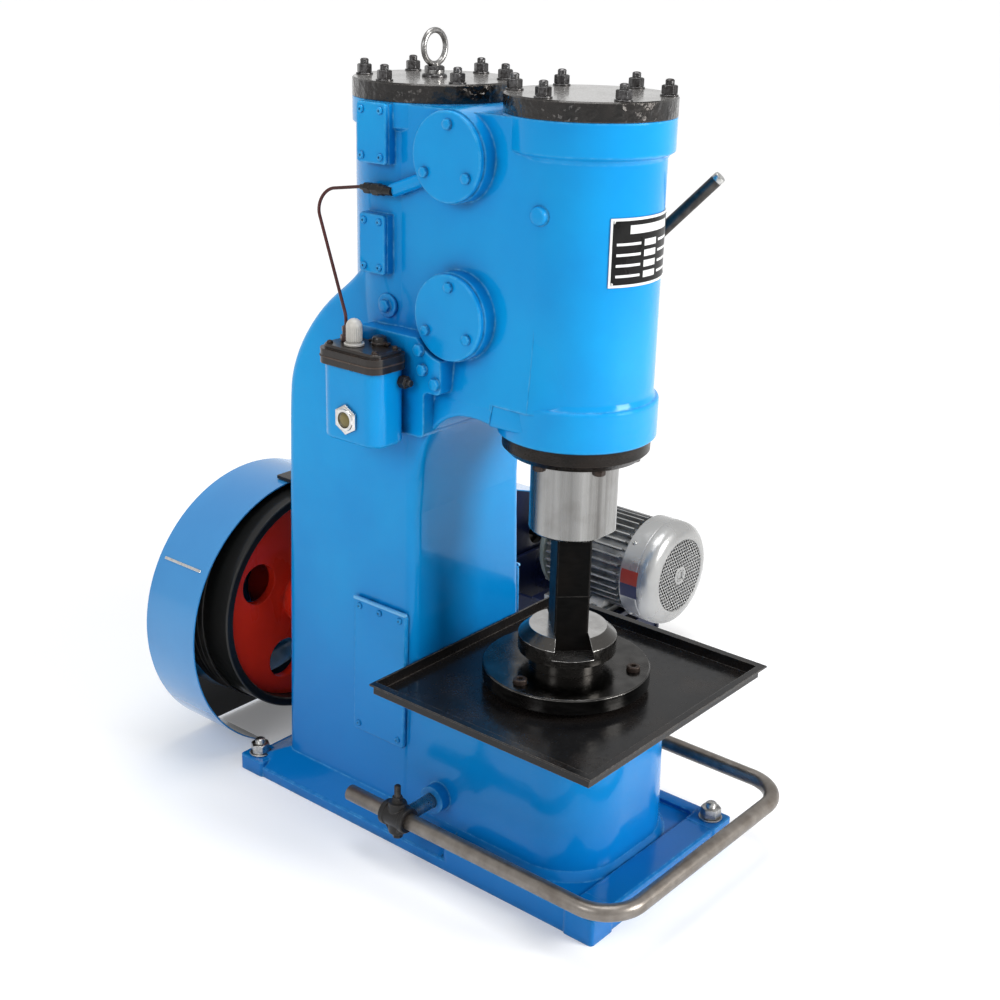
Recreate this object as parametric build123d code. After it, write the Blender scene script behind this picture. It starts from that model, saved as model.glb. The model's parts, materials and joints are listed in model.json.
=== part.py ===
from build123d import *
import math
import os

os.makedirs("parts", exist_ok=True)

# Overall layout, millimetres. X is across, Y runs from front to rear, Z is up.
# The ram axis is at X = Y = 0 and the floor is at Z = 0.
cover_top = 1180.0
cover_thick = 26.0
cyl_pitch = 285.0
seat = 0.3
run_gap = 0.05

# Foot of the casting: a thick front block around the anvil and a thin sloping flange behind
bed_half = 187.0
bed_front = 205.0
bed_rear = 556.0
rim_high = 42.0
rim_front = 52.0
rim_side = 25.0
sink = 7.0
edge_high = 18.0
root_high = 48.0
block_rear = 95.0
bed_round = 18.0
lug = 52.0
lug_proud = 3.0
lug_high = 44.0
lug_rear_high = 28.0
anchor_in = 22.0
anchor_r = 9.0

# Anvil pedestal, cast in one with the foot
ped_front = 145.0
ped_corner = 100.0
ped_top = 286.0
skirt = 10.0

# Column and head of the casting
col_front = 202.0
col_rear = 486.0
col_half_low = 143.0
col_half_high = 127.0
col_round = 18.0
taper_z = 640.0
head_z = 880.0
arch_r = 60.0
arch_z = 727.0
wall_end = 66.0
wall_low = 752.0
shoulder_top = 945.0
shoulder_low = 700.0
shoulder_fore = 35.0
work_r = 109.0
comp_r = 115.0
flange_r = 119.0
flange_high = 47.0
low_flange_r = 117.0
low_flange_top = 763.0
low_flange_round = 5.0
low_flange_bot = 703.0
cast_fillet = 8.0
bore_r = 85.0
guide_r = 65.5
guide_top = 770.0
ram_flat = 60.5

# Bosses and pads on the casting
valve_r = 62.0
valve_proud = 21.0
valve_plate = 9.0
valve_y_top = 138.0
valve_drop = 88.0
valve_y_low = 133.0
valve_pitch = 222.0
spindle_r = 10.0
port_y = 286.0
port_wide_top = 57.0
port_z_top = 1110.0
port_high_top = 84.0
port_wide_low = 50.0
port_z_low = 953.0
port_high_low = 86.0
port_proud = 17.0
port_plate = 6.0
rib_r = 10.0
rib_y = 174.0
rib_z = 1064.0
fitting_y = 262.0
fitting_z = 1032.0
fitting_long = 48.0
fitting_r = 8.5
fitting_out = 12.0
bearing_r = 74.0
bearing_proud = 24.0
bearing_cap_thick = 14.0

# Ram, dies and anvil
ram_bottom = 550.0
ram_long = 355.0
piston_long = 100.0
die_joint = 452.0
die_turn = -45.0
die_wide = 52.0
die_long = 75.0
tail_wide = 28.0
tail_long = 66.0
tail_deep = 17.0
dovetail_flare = 7.0
dovetail_low = 362.0
gland_bot = 672.0
gland_bevel = 10.0
ring_r = 130.5
ring_top = 326.0
ring_thick = 26.0
ring_foot_r = 104.0
ring_bolt_at = 105.0
ring_bolt_turn = -4.0
ring_bore_r = 11.0
ring_bore_deep = 9.0
cap_top = 391.0
cap_top_r = 60.0
cap_shoulder_r = 76.0
cap_shoulder_top = 376.0
cap_shoulder_low = 350.0
cap_neck_r = 58.0
cap_foot = 309.0

# Tray
tray_half = 234.0
tray_front = 222.0
tray_rear = 198.0
tray_sheet = 3.0
tray_lip = 20.0
tray_flange = 9.0

# Control handle and valve lever on the right side
handle_y = 45.0
handle_up = 35.0
handle_boss_r = 30.0
handle_boss_long = 18.0
handle_rod_r = 7.0
handle_reach = 45.0
handle_fore = 137.0
handle_rise = 151.0
lever_arm = 129.0
lever_thick = 9.0
lever_pin_r = 5.0
rod_x = 170.0
rod_r = 6.0
collar_up = 24.0
collar_long = 36.0
rod_eye_r = 14.0
rod_foot_r = 12.0

# Crank, wheel, guard and motor
crank_z = 262.0
crank_r = 28.0
crank_in = 100.0
wheel_r = 204.0
wheel_rim = 16.0
wheel_front = 564.0
wheel_wide = 125.0
hub_r = 52.0
web_in = 24.0
web_thick = 16.0
web_holes = 4
web_hole_turn = 64.0
belt_thick = 5.0
belt_wide = 54.0
belt_front = 621.0
guard_r = 250.0
guard_z = 230.0
guard_low = 6.0
guard_end_gap = 27.0
guard_sheet = 2.5
guard_front = 598.0
guard_rear = 722.0
bracket_half = 26.0
bracket_reach = 26.0
bracket_thick = 6.0
bracket_rib_long = 110.0
bracket_rib_high = 70.0
bracket_rib_thick = 8.0
plate_left = 430.0
motor_x = 692.0
motor_z = 182.0
motor_r = 107.5
motor_fan_y = 234.0
fan_long = 76.0
shield_long = 26.0
motor_long = 300.0
fin_high = 13.0
fin_thick = 3.2
fin_count = 36
motor_shaft_r = 14.0
foot_high = 100.0
foot_out = 100.0
foot_thick = 12.0
foot_wide = 48.0
pulley_r = 52.0
box_x = 62.0
box_y = 64.0
box_high = 36.0
stand_plate = 10.0
stand_wall = 8.0
tie_high = 12.0
tie_wide = 44.0
post_thick = 8.0

# Foot treadle
tube_r = 13.0
treadle_gap = 36.0
treadle_z = 100.0
treadle_front = 276.0
treadle_bend = 62.0
treadle_tip = 240.0
pivot_y = 137.0
pivot_z = 92.0
pivot_r = 12.0
pivot_boss_r = 23.0
pivot_boss_proud = 16.0
clamp_wide = 50.0
clamp_up = 28.0
clamp_down = 30.0
clamp_out = 24.0

# Lubricator tank, its lid and fittings on the left side
tank_gap = 2.0
tank_deep = 70.0
tank_y = 258.5
tank_wide = 115.0
tank_low = 674.0
tank_high = 113.0
tank_round = 24.0
lid_high = 28.0
lid_over = 4.0
lid_round = 20.0
pad_front = 140.0
pad_step_front = 172.0
pad_rear = 306.0
pad_low = 684.0
pad_step = 755.0
pad_top = 833.0
pad_round = 8.0
cap_r = 12.0
cap_high = 40.0
cap_back = 10.0
union_r = 9.0
union_high = 24.0
union_out = 35.0
glass_r = 23.0
glass_thick = 7.0
glass_low = 76.0
oil_tube_r = 2.5
tube_run = 92.0
tube_drop = 14.0
tube_out = 7.0
tube_end = 14.0

# Name plate, access covers and eye bolt
plate_low = 937.0
plate_high = 93.0
plate_half_angle = 36.0
plate_thick = 1.2
access_y = 266.0
access_wide = 113.0
access_low = 150.0
access_high = 235.0
access_thick = 7.0
eye_r = 23.5
eye_wire = 4.2
eye_base_r = 14.0
eye_base_high = 10.0
eye_neck = 8.0

# Values that follow from those above
head_top = cover_top - cover_thick - seat
head_half = work_r
valve_z_top = cover_top - valve_drop
valve_z_low = valve_z_top - valve_pitch
handle_z = valve_z_low + handle_up
comp_flange_r = comp_r + 5.0
valve_face = head_half + valve_proud
port_face = head_half + port_proud
ports = ((port_wide_top, port_z_top, port_high_top),
         (port_wide_low, port_z_low, port_high_low))
rib_start = (-head_half - 4, rib_y, rib_z)
rib_end = (-head_half - fitting_out, fitting_y - 8, fitting_z)
anchor_x = bed_half - anchor_in
anchor_front = anchor_in - bed_front
anchor_rear = bed_rear - anchor_in
ram_r = guide_r - run_gap
ram_top = ram_bottom + ram_long
tray_floor = ped_top + seat
wheel_back = wheel_front + wheel_wide
guard_end_r = pulley_r + belt_thick + guard_end_gap
belt_back = belt_front + belt_wide
motor_end_y = motor_fan_y + motor_long
motor_core_r = motor_r - 9.0 - fin_high
stand_top = motor_z - foot_high - seat
treadle_half = bed_half + treadle_gap + tube_r
pivot_face = col_half_low + pivot_boss_proud
rod_y = valve_y_low + lever_arm
rod_tip = rod_y + 22.0
tank_in = col_half_high + 17.0
tank_top = tank_low + tank_high
lid_top = tank_top + seat + lid_high


def cyl_z(r, z0, z1, x=0.0, y=0.0):
    return Pos(x, y, (z0 + z1) / 2) * Cylinder(r, z1 - z0)


def cyl_x(r, x0, x1, y, z):
    return Pos((x0 + x1) / 2, y, z) * Rot(0, 90, 0) * Cylinder(r, abs(x1 - x0))


def cyl_y(r, y0, y1, x, z):
    return Pos(x, (y0 + y1) / 2, z) * Rot(90, 0, 0) * Cylinder(r, y1 - y0)


def block(x0, x1, y0, y1, z0, z1):
    middle = Pos((x0 + x1) / 2, (y0 + y1) / 2, (z0 + z1) / 2)
    return middle * Box(abs(x1 - x0), abs(y1 - y0), abs(z1 - z0))


def slab(x0, x1, y0, y1, z0, z1, r):
    body = block(x0, x1, y0, y1, z0, z1)
    return fillet(body.edges().filter_by(Axis.Z), r)


def rod(a, b, r):
    start = Vector(*a)
    way = Vector(*b) - start
    return Solid.make_cylinder(r, way.length, Plane(origin=start, z_dir=way))


def turned(points):
    with BuildPart() as bp:
        with BuildSketch(Plane.XZ):
            with BuildLine():
                Polyline(*points, close=True)
            make_face()
        revolve(axis=Axis.Z)
    return bp.part


def save(shape, name):
    export_step(shape, "parts/" + name + ".step")
    print(name, round(shape.volume / 1000.0, 1))


def together(pieces):
    solids = []
    for piece in pieces:
        solids.extend(piece.solids())
    return Compound(solids)


def prism_x(points, x0, x1):
    with BuildSketch(Plane.YZ) as sk:
        with BuildLine():
            Polyline(*points, close=True)
        make_face()
    return Pos(x0, 0, 0) * extrude(sk.sketch, x1 - x0)


def prism_y(points, y0, y1):
    with BuildSketch(Plane.XZ) as sk:
        with BuildLine():
            Polyline(*points, close=True)
        make_face()
    return Pos(0, y0, 0) * extrude(sk.sketch, y0 - y1)


# Foot: front block with a sunk floor, sloping rear flange, four anchor lugs
def make_foot():
    plate = slab(-bed_half, bed_half, -bed_front, bed_rear, 0, edge_high, bed_round)
    plate = chamfer(plate.edges().group_by(Axis.Z)[-1], 2.0)
    front = slab(-bed_half, bed_half, -bed_front, block_rear, 0, rim_high, bed_round)
    front = chamfer(front.edges().group_by(Axis.Z)[-1], 3.0)
    floor = rim_high - sink
    pocket = slab(rim_side - bed_half, bed_half - rim_side, rim_front - bed_front, block_rear + 40, floor,
                  rim_high + 10, 12)
    w = col_half_low - 4
    across = prism_y([(-bed_half + 1, edge_high - 2), (bed_half - 1, edge_high - 2), (w, root_high),
                      (-w, root_high)], block_rear - 1, bed_rear)
    along = prism_x([(block_rear - 2, 1), (bed_rear - 1, 1), (bed_rear - 1, edge_high - 2),
                     (col_rear, root_high), (block_rear - 2, root_high)], -bed_half, bed_half)
    body = plate + (front - pocket) + (across & along)
    for sx in (-1, 1):
        a = sx * (bed_half + lug_proud)
        b = sx * (bed_half - lug)
        fore = slab(min(a, b), max(a, b), -bed_front - lug_proud, lug - bed_front, 0, lug_high, 6)
        body = body + chamfer(fore.edges().group_by(Axis.Z)[-1], 1.5)
        rear = slab(min(a, b), max(a, b), bed_rear - lug, bed_rear + lug_proud, 0, lug_rear_high, 6)
        body = body + chamfer(rear.edges().group_by(Axis.Z)[-1], 1.5)
    return body


def pedestal_plan(grow, z):
    half = col_half_low - 1 - z * (col_half_low - col_half_high) / taper_z + grow
    front = ped_front + grow
    r = ped_corner + grow
    with BuildSketch(Plane.XY.offset(z)) as sk:
        with BuildLine():
            Line((-half, col_front + 20), (-half, r - front))
            RadiusArc((-half, r - front), (r - half, -front), -r)
            Line((r - half, -front), (half - r, -front))
            RadiusArc((half - r, -front), (half, r - front), -r)
            Line((half, r - front), (half, col_front + 20))
            Line((half, col_front + 20), (-half, col_front + 20))
        make_face()
    return sk.sketch


def make_pedestal():
    floor = rim_high - sink - 2
    body = loft([pedestal_plan(0, floor), pedestal_plan(-2, ped_top)])
    return body + loft([pedestal_plan(skirt, floor), pedestal_plan(0, floor + skirt * 1.6)])


def side_profile():
    a = (col_front - 6, 2)
    b = (col_front + 3, arch_z - arch_r)
    c = (col_front + 3 - arch_r, arch_z)
    top = head_top - 2
    s = cyl_pitch + shoulder_fore
    wide = col_rear - 1 - s
    drop = shoulder_top - shoulder_low
    with BuildSketch(Plane.YZ) as sk:
        with BuildLine():
            Line(a, b)
            RadiusArc(b, c, -arch_r)
            Line(c, (wall_end, arch_z))
            Line((wall_end, arch_z), (wall_end, wall_low))
            Line((wall_end, wall_low), (0, wall_low))
            Line((0, wall_low), (0, top))
            Line((0, top), (cyl_pitch, top))
            Line((cyl_pitch, top), (s, shoulder_top))
            Spline((s, shoulder_top), (s + 0.2 * wide, shoulder_top - 0.21 * drop),
                   (s + 0.53 * wide, shoulder_top - 0.4 * drop),
                   (s + 0.83 * wide, shoulder_top - 0.65 * drop), (s + wide, shoulder_low))
            Line((s + wide, shoulder_low), (col_rear + 4, 2))
            Line((col_rear + 4, 2), a)
        make_face()
    return sk.sketch


def width_profile():
    with BuildSketch(Plane.XZ) as sk:
        with BuildLine():
            Line((-col_half_low, 0), (-col_half_high, taper_z))
            Spline((-col_half_high, taper_z), ((-col_half_high - head_half) / 2, (taper_z + head_z) / 2),
                   (-head_half, head_z), tangents=((16, taper_z), (0, 1)))
            Line((-head_half, head_z), (-head_half, cover_top))
            Line((-head_half, cover_top), (head_half, cover_top))
            Line((head_half, cover_top), (head_half, head_z))
            Spline((head_half, head_z), ((col_half_high + head_half) / 2, (taper_z + head_z) / 2),
                   (col_half_high, taper_z), tangents=((0, -1), (16, -taper_z)))
            Line((col_half_high, taper_z), (col_half_low, 0))
            Line((col_half_low, 0), (-col_half_low, 0))
        make_face()
    return sk.sketch


# C-shaped column: the side view cut by the front view, with its long edges rounded
def make_column():
    web = extrude(side_profile(), bed_half, both=True)
    taper = extrude(width_profile(), bed_rear + 50, both=True)
    body = web & taper
    long_edges = []
    for e in body.edges():
        c = e.center()
        fore = abs(c.Y - col_front) < 8 and 200 < c.Z < 500
        rear = abs(c.Y - col_rear) < 6 and 200 < c.Z < 500
        if (fore or rear) and abs(c.X) > 80 and e.length > 300:
            long_edges.append(e)
    return fillet(long_edges, col_round)


def make_work_cylinder():
    f = cast_fillet
    edge = low_flange_round
    under = head_top - flange_high
    profile = [(0, low_flange_bot), (low_flange_r - 2, low_flange_bot), (low_flange_r, low_flange_bot + 2)]
    for k in range(5):
        a = math.radians(22.5 * k)
        out = edge * (math.cos(a) - 1)
        up = edge * (math.sin(a) - 1)
        profile.append((low_flange_r + out, low_flange_top + up))
    profile = profile + [(work_r + 2, low_flange_top + 2), (work_r, low_flange_top + f), (work_r, under - f),
                         (work_r + 3, under - 3), (flange_r - 2, under), (flange_r, under + 2),
                         (flange_r, head_top - 1), (flange_r - 1, head_top), (0, head_top)]
    return turned(profile)


def make_rear_cylinder():
    low = head_top - flange_high + 11
    body = turned([(0, arch_z), (comp_r, arch_z), (comp_r, low - 4), (comp_flange_r - 1, low),
                   (comp_flange_r, low + 1), (comp_flange_r, head_top - 1), (comp_flange_r - 1, head_top),
                   (0, head_top)])
    return Pos(0, cyl_pitch, 0) * body


def ram_section(grow):
    z = low_flange_bot
    round_part = Pos(0, 0, z) * Circle(ram_r + grow)
    return round_part & (Pos(0, 0, z) * Rectangle(4 * ram_r, 2 * (ram_flat + grow)))


def make_casting():
    body = make_foot() + make_column() + make_pedestal()
    body = body + make_rear_cylinder() + make_work_cylinder()
    for y, z in ((valve_y_top, valve_z_top), (valve_y_low, valve_z_low)):
        body = body + cyl_x(valve_r + 2, -valve_face, valve_face, y, z)
    for wide, z, high in ports:
        body = body + block(-port_face, 0, port_y - wide / 2, port_y + wide / 2, z - high / 2, z + high / 2)
    body = body + rod(rib_start, rib_end, rib_r)
    pad = block(seat - tank_in, 0, pad_front, pad_rear, pad_step, pad_top)
    pad = pad + block(seat - tank_in, 0, pad_step_front, pad_rear, pad_low, pad_step + 1)
    pad = fillet(pad.edges().filter_by(Axis.X), pad_round)
    body = body + (pad - cyl_x(valve_r + 3, -bed_half, 0, valve_y_low, valve_z_low))
    body = body + cyl_y(bearing_r, col_rear - 60, col_rear + bearing_proud, 0, crank_z)
    for sx in (-1, 1):
        inner = sx * (col_half_low - 40)
        outer = sx * pivot_face
        x0 = min(inner, outer)
        x1 = max(inner, outer)
        body = body + cyl_x(pivot_boss_r, x0, x1, pivot_y, pivot_z)
        for y in (anchor_front, anchor_rear):
            body = body - cyl_z(anchor_r, -1, lug_high + 10, sx * anchor_x, y)
    body = body - cyl_z(bore_r, guide_top, head_top + 1)
    guide = extrude(ram_section(run_gap), guide_top + 1 - low_flange_bot)
    body = body - guide
    body = body - cyl_z(bore_r, guide_top, head_top + 1, 0, cyl_pitch)
    body = body - cyl_y(crank_r + run_gap, col_rear - crank_in - 20, col_rear + 60, 0, crank_z)
    body = body - cyl_x(pivot_r + run_gap, -pivot_face - 1, pivot_face + 1, pivot_y, pivot_z)
    body = body - cyl_x(spindle_r + run_gap, 60, valve_face + 1, valve_y_low, valve_z_low)
    return body - cyl_x(spindle_r + run_gap, 60, valve_face + 1, handle_y, handle_z)


def make_cover(y, r):
    body = cyl_z(r, head_top + seat, cover_top, 0, y)
    return chamfer(body.edges().group_by(Axis.Z)[-1], 2)


def make_eye():
    base_top = cover_top + eye_base_high
    z = base_top + eye_neck + eye_r
    ring = Pos(0, cyl_pitch, z) * Rot(90, 0, 0) * Torus(eye_r, eye_wire)
    base = cyl_z(eye_base_r, cover_top, base_top, 0, cyl_pitch)
    return ring + base + cyl_z(eye_neck, base_top - 1, z - eye_r + 2, 0, cyl_pitch)


def make_gland():
    top = low_flange_bot - seat
    body = turned([(0, gland_bot), (work_r - gland_bevel, gland_bot), (work_r, gland_bot + gland_bevel),
                   (work_r, top), (0, top)])
    hole = Pos(0, 0, gland_bot - 1 - low_flange_bot) * extrude(ram_section(run_gap), top + 2 - gland_bot)
    return body - hole


def make_ram():
    shank = Pos(0, 0, ram_bottom - low_flange_bot) * extrude(ram_section(0), ram_long)
    shank = chamfer(shank.edges().group_by(Axis.Z)[0], 3)
    body = shank + cyl_z(bore_r - run_gap, ram_top - piston_long, ram_top)
    return body - die_tail(ram_bottom - 1, ram_bottom + tail_deep + 1, 1)


# The dies stand across the machine's corner, turned about the ram axis
def die_block(z0, z1):
    body = block(-die_wide / 2, die_wide / 2, -die_long / 2, die_long / 2, z0, z1)
    return Rot(0, 0, die_turn) * chamfer(body.edges().filter_by(Axis.Z), 2)


def die_tail(z0, z1, grow):
    x = tail_wide / 2 + grow
    y = tail_long / 2 + grow
    return Rot(0, 0, die_turn) * block(-x, x, -y, y, z0, z1)


def dovetail(half_long, z0, z1, grow):
    top = die_wide / 2 - 1 + grow
    low = top + dovetail_flare
    section = prism_y([(-top, z1), (-low, z0), (low, z0), (top, z1)], -half_long, half_long)
    return Rot(0, 0, die_turn) * section


def make_upper_die():
    z1 = ram_bottom - seat
    return die_block(die_joint + seat, z1) + die_tail(z1 - 1, z1 + tail_deep, 0)


def make_lower_die():
    z0 = cap_top + seat
    return die_block(z0, die_joint) + dovetail(die_long / 2, dovetail_low + seat, z0 + 1, 0)


def make_anvil():
    body = turned([(0, cap_foot), (cap_neck_r, cap_foot), (cap_neck_r, cap_shoulder_low),
                   (cap_shoulder_r - 1, cap_shoulder_low), (cap_shoulder_r, cap_shoulder_low + 1),
                   (cap_shoulder_r, cap_shoulder_top), (cap_top_r, cap_top), (0, cap_top)])
    return body - dovetail(cap_shoulder_r + 5, dovetail_low, cap_top + 1.5, seat)


def make_anvil_ring():
    low = ring_top - ring_thick
    body = turned([(0, ped_top + seat), (ring_foot_r, ped_top + seat), (ring_foot_r, low), (ring_r - 2, low),
                   (ring_r, low + 2), (ring_r, ring_top - 2), (ring_r - 2, ring_top), (0, ring_top)])
    body = body - cyl_z(cap_neck_r + seat, cap_foot - seat, ring_top + 1)
    for k in range(3):
        a = math.radians(180 + ring_bolt_turn + 120 * k)
        x = ring_bolt_at * math.cos(a)
        y = ring_bolt_at * math.sin(a)
        body = body - cyl_z(ring_bore_r, ring_top - ring_bore_deep, ring_top + 1, x, y)
    return body


# Sheet tray: a floor with upturned lips whose tops are turned outwards
def make_tray():
    t = tray_sheet
    z0 = tray_floor
    z1 = z0 + tray_lip
    h = tray_half - tray_flange
    f = tray_front - tray_flange
    body = block(-h, h, -f, tray_rear, z0, z1)
    body = body - block(t - h, h - t, t - f, tray_rear - t, z0 + t, z1 + 1)
    edge = block(-tray_half, tray_half, -tray_front, tray_rear, z1 - t, z1)
    edge = edge - block(1 - h, h - 1, 1 - f, tray_rear - 1, z1 - 2 * t, z1 + 1)
    body = body + edge
    w = col_half_low - 5
    body = body - block(-w, w, col_front - 3, tray_rear + 10, z0 - 1, z1 + 1)
    return body - cyl_z(ring_foot_r + seat, z0 - 1, z0 + t + 1)


def make_valve_covers(side):
    out = []
    for y, z in ((valve_y_top, valve_z_top), (valve_y_low, valve_z_low)):
        plate = cyl_x(valve_r, 0, valve_plate, y, z)
        plate = chamfer(plate.edges().group_by(Axis.X)[-1], 1.5)
        if side > 0 and z == valve_z_low:
            plate = plate - cyl_x(spindle_r + run_gap, -5, valve_plate + 5, y, z)
        plate = Pos(valve_face + seat, 0, 0) * plate
        out.append(plate if side > 0 else mirror(plate, about=Plane.YZ))
    return together(out)


def make_port_covers():
    out = []
    for wide, z, high in ports:
        x = -port_face - seat
        plate = block(x - port_plate, x, port_y - wide / 2, port_y + wide / 2, z - high / 2, z + high / 2)
        plate = fillet(plate.edges().filter_by(Axis.X), 5)
        out.append(chamfer(plate.edges().group_by(Axis.X)[0], 1))
    return together(out)


def make_oil_fitting():
    x = -head_half - fitting_out - fitting_r
    y0 = fitting_y
    y1 = fitting_y + fitting_long
    body = cyl_y(fitting_r, y0, y1 - 10, x, fitting_z) + cyl_y(fitting_r - 2.5, y1 - 11, y1, x, fitting_z)
    return body - rod(rib_start, rib_end, rib_r + seat)


# Oil tube route from the fitting on the cylinder to the union on the tank lid
def oil_route():
    x0 = -head_half - fitting_out - fitting_r
    x1 = -tank_in - union_out
    y = fitting_y + fitting_long
    z = fitting_z
    end = tank_y + union_out
    low = lid_top + union_high
    bend = Vector(x0 - tube_out, y + tube_run, z - tube_drop)
    return [Vector(x0, y, z), bend, Vector(x1, end, low + tube_end), Vector(x1, end, low)]


def make_oil_tube():
    pts = oil_route()
    radii = []
    for before, here, after in zip(pts, pts[1:], pts[2:]):
        turn = math.radians((here - before).get_angle(after - here))
        run = min((here - before).length, (after - here).length)
        radii.append(0.45 * run / math.tan(turn / 2))
    print("oil tube bend radii", [round(r, 1) for r in radii])
    with BuildPart() as bp:
        with BuildLine():
            FilletPolyline(*pts, radius=radii)
        with BuildSketch(Plane(origin=pts[0], z_dir=pts[1] - pts[0])):
            Circle(oil_tube_r)
        sweep()
    return bp.part


def make_handle_boss():
    x0 = head_half - 20
    x1 = head_half + handle_boss_long
    body = cyl_x(handle_boss_r, x0, x1, handle_y, handle_z)
    body = chamfer(body.edges().group_by(Axis.X)[-1], 2)
    body = body - cyl_z(work_r + seat, low_flange_top, head_top)
    body = body - block(0, head_half + seat, 0, bed_rear, low_flange_top, head_top)
    return body - cyl_x(spindle_r + run_gap, x0 - 5, x1 + 5, handle_y, handle_z)


# Hand lever: spindle, clamp hub and the long rod that slopes forward and up
def make_handle():
    x0 = head_half + handle_boss_long + 4
    x1 = x0 + 24
    body = cyl_x(spindle_r + 8, x0, x1, handle_y, handle_z)
    body = chamfer(body.edges().filter_by(GeomType.CIRCLE), 2)
    body = body + cyl_x(spindle_r, head_half + 6, x0 + 2, handle_y, handle_z)
    root = (x0 + 12, handle_y, handle_z)
    tip = (x0 + 12 + handle_reach, handle_y - handle_fore, handle_z + handle_rise)
    arm = rod(root, tip, handle_rod_r)
    return body + arm


def make_valve_lever():
    y = valve_y_low
    z = valve_z_low
    x0 = rod_x - 10 - lever_thick
    x1 = rod_x - 10
    h = lever_thick
    body = cyl_x(spindle_r + 7, x0 - 4, x1 + 3, y, z)
    body = body + cyl_x(spindle_r, valve_face - 10, x0, y, z)
    arm = prism_x([(y, z - h - 3), (y, z + h + 3), (y + lever_arm, z + h), (y + lever_arm, z - h)], x0, x1)
    body = body + arm + cyl_x(h, x0, x1, y + lever_arm, z)
    return body + cyl_x(lever_pin_r, x1 - 1, rod_x + 13, y + lever_arm, z)


def make_link_rod():
    high = valve_z_low
    low = treadle_z
    body = cyl_z(rod_r, low + 8, high - 10, rod_x, rod_y)
    body = body + cyl_z(rod_r + 4, low + collar_up, low + collar_up + collar_long, rod_x, rod_y)
    body = body + cyl_x(rod_eye_r, rod_x - 7, rod_x + 7, rod_y, high)
    body = body + cyl_x(rod_foot_r, rod_x - 7, rod_x + 7, rod_y, low)
    body = body - cyl_x(lever_pin_r + 3, rod_x - 8, rod_x + 8, rod_y, high)
    return body - cyl_x(rod_r + run_gap, rod_x - 8, rod_x + 8, rod_y, low)


def make_rod_pin():
    return cyl_x(rod_r, rod_x - 11, treadle_half - tube_r - seat, rod_y, treadle_z)


def make_crank_shaft():
    body = cyl_y(crank_r, col_rear - crank_in, wheel_back + 10, 0, crank_z)
    return chamfer(body.edges().group_by(Axis.Y)[-1], 2)


def make_bearing_cap():
    y0 = col_rear + bearing_proud + seat
    body = cyl_y(bearing_r - 4, y0, y0 + bearing_cap_thick, 0, crank_z)
    body = chamfer(body.edges().group_by(Axis.Y)[-1], 2)
    return body - cyl_y(crank_r + 1, y0 - 1, y0 + bearing_cap_thick + 1, 0, crank_z)


def make_wheel_rim():
    body = cyl_y(wheel_r, wheel_front, wheel_back, 0, crank_z)
    body = body - cyl_y(wheel_r - wheel_rim, wheel_front - 1, wheel_back + 1, 0, crank_z)
    return chamfer(body.edges().filter_by(GeomType.CIRCLE), 2)


def make_wheel_web():
    y0 = wheel_front + web_in
    y1 = y0 + web_thick
    inner = wheel_r - wheel_rim - seat
    body = cyl_y(inner, y0, y1, 0, crank_z)
    body = body + cyl_y(hub_r, wheel_front + 4, wheel_back - 6, 0, crank_z)
    hole_r = (inner - hub_r) * 0.27
    hole_at = (inner + hub_r) / 2
    for k in range(web_holes):
        a = math.radians(web_hole_turn + 360 / web_holes * k)
        spot = (hole_at * math.cos(a), crank_z + hole_at * math.sin(a))
        body = body - cyl_y(hole_r, wheel_front, wheel_back, spot[0], spot[1])
    return body - cyl_y(crank_r, wheel_front - 10, wheel_back + 10, 0, crank_z)


# Band around two circles joined by their outer tangents, as a guard or a belt runs
def loop_prism(ra, rb, y0, y1, big_z):
    dx = motor_x
    dz = motor_z - big_z
    d = math.hypot(dx, dz)
    t = math.atan2(dz, dx)
    a = math.acos((ra - rb) / d)
    p = []
    for r, cx, cz, ang in ((ra, 0, 0, t + a), (rb, dx, dz, t + a), (rb, dx, dz, t), (rb, dx, dz, t - a),
                           (ra, 0, 0, t - a), (ra, 0, 0, t + math.pi)):
        p.append((cx + r * math.cos(ang), cz + r * math.sin(ang)))
    with BuildSketch(Plane.XZ) as sk:
        with BuildLine():
            Line(p[0], p[1])
            ThreePointArc(p[1], p[2], p[3])
            Line(p[3], p[4])
            ThreePointArc(p[4], p[5], p[0])
        make_face()
    return Pos(0, y0, big_z) * extrude(sk.sketch, y0 - y1)


def make_guard():
    band = loop_prism(guard_r, guard_end_r, guard_front, guard_rear, guard_z)
    t = guard_sheet
    band = band - loop_prism(guard_r - t, guard_end_r - t, guard_front - 1, guard_rear - t, guard_z)
    return band - block(-guard_r, motor_x, guard_front - 1, guard_rear + 1, -guard_r, guard_low)


def make_guard_plate():
    t = guard_sheet + seat
    y0 = guard_front + 2
    body = loop_prism(guard_r - t, guard_end_r - t, y0, y0 + guard_sheet, guard_z)
    body = body - block(-2 * guard_r, plate_left, y0 - 1, y0 + 10, -100, 3 * guard_r)
    return body - cyl_y(motor_shaft_r + 16, y0 - 1, y0 + 10, motor_x, motor_z)


def make_guard_bracket():
    z = guard_z + guard_r + seat
    y0 = col_rear - bracket_thick
    y1 = guard_front + bracket_reach
    top = z + bracket_thick
    body = block(-bracket_half, bracket_half, y0, y1, z, top)
    rib = [(y0, top - 1), (y0 + bracket_rib_long, top - 1), (y0, z + bracket_rib_high)]
    body = body + prism_x(rib, -bracket_rib_thick / 2, bracket_rib_thick / 2)
    return body - cut_column()


def cut_column():
    rear = col_rear + seat
    return prism_x([(0, 2), (rear + 4, 2), (rear - 1, shoulder_low), (0, shoulder_low)], -bed_half, bed_half)


def make_belt():
    outer = loop_prism(wheel_r + belt_thick, pulley_r + belt_thick, belt_front, belt_back, crank_z)
    return outer - loop_prism(wheel_r + seat, pulley_r + seat, belt_front - 1, belt_back + 1, crank_z)


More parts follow.
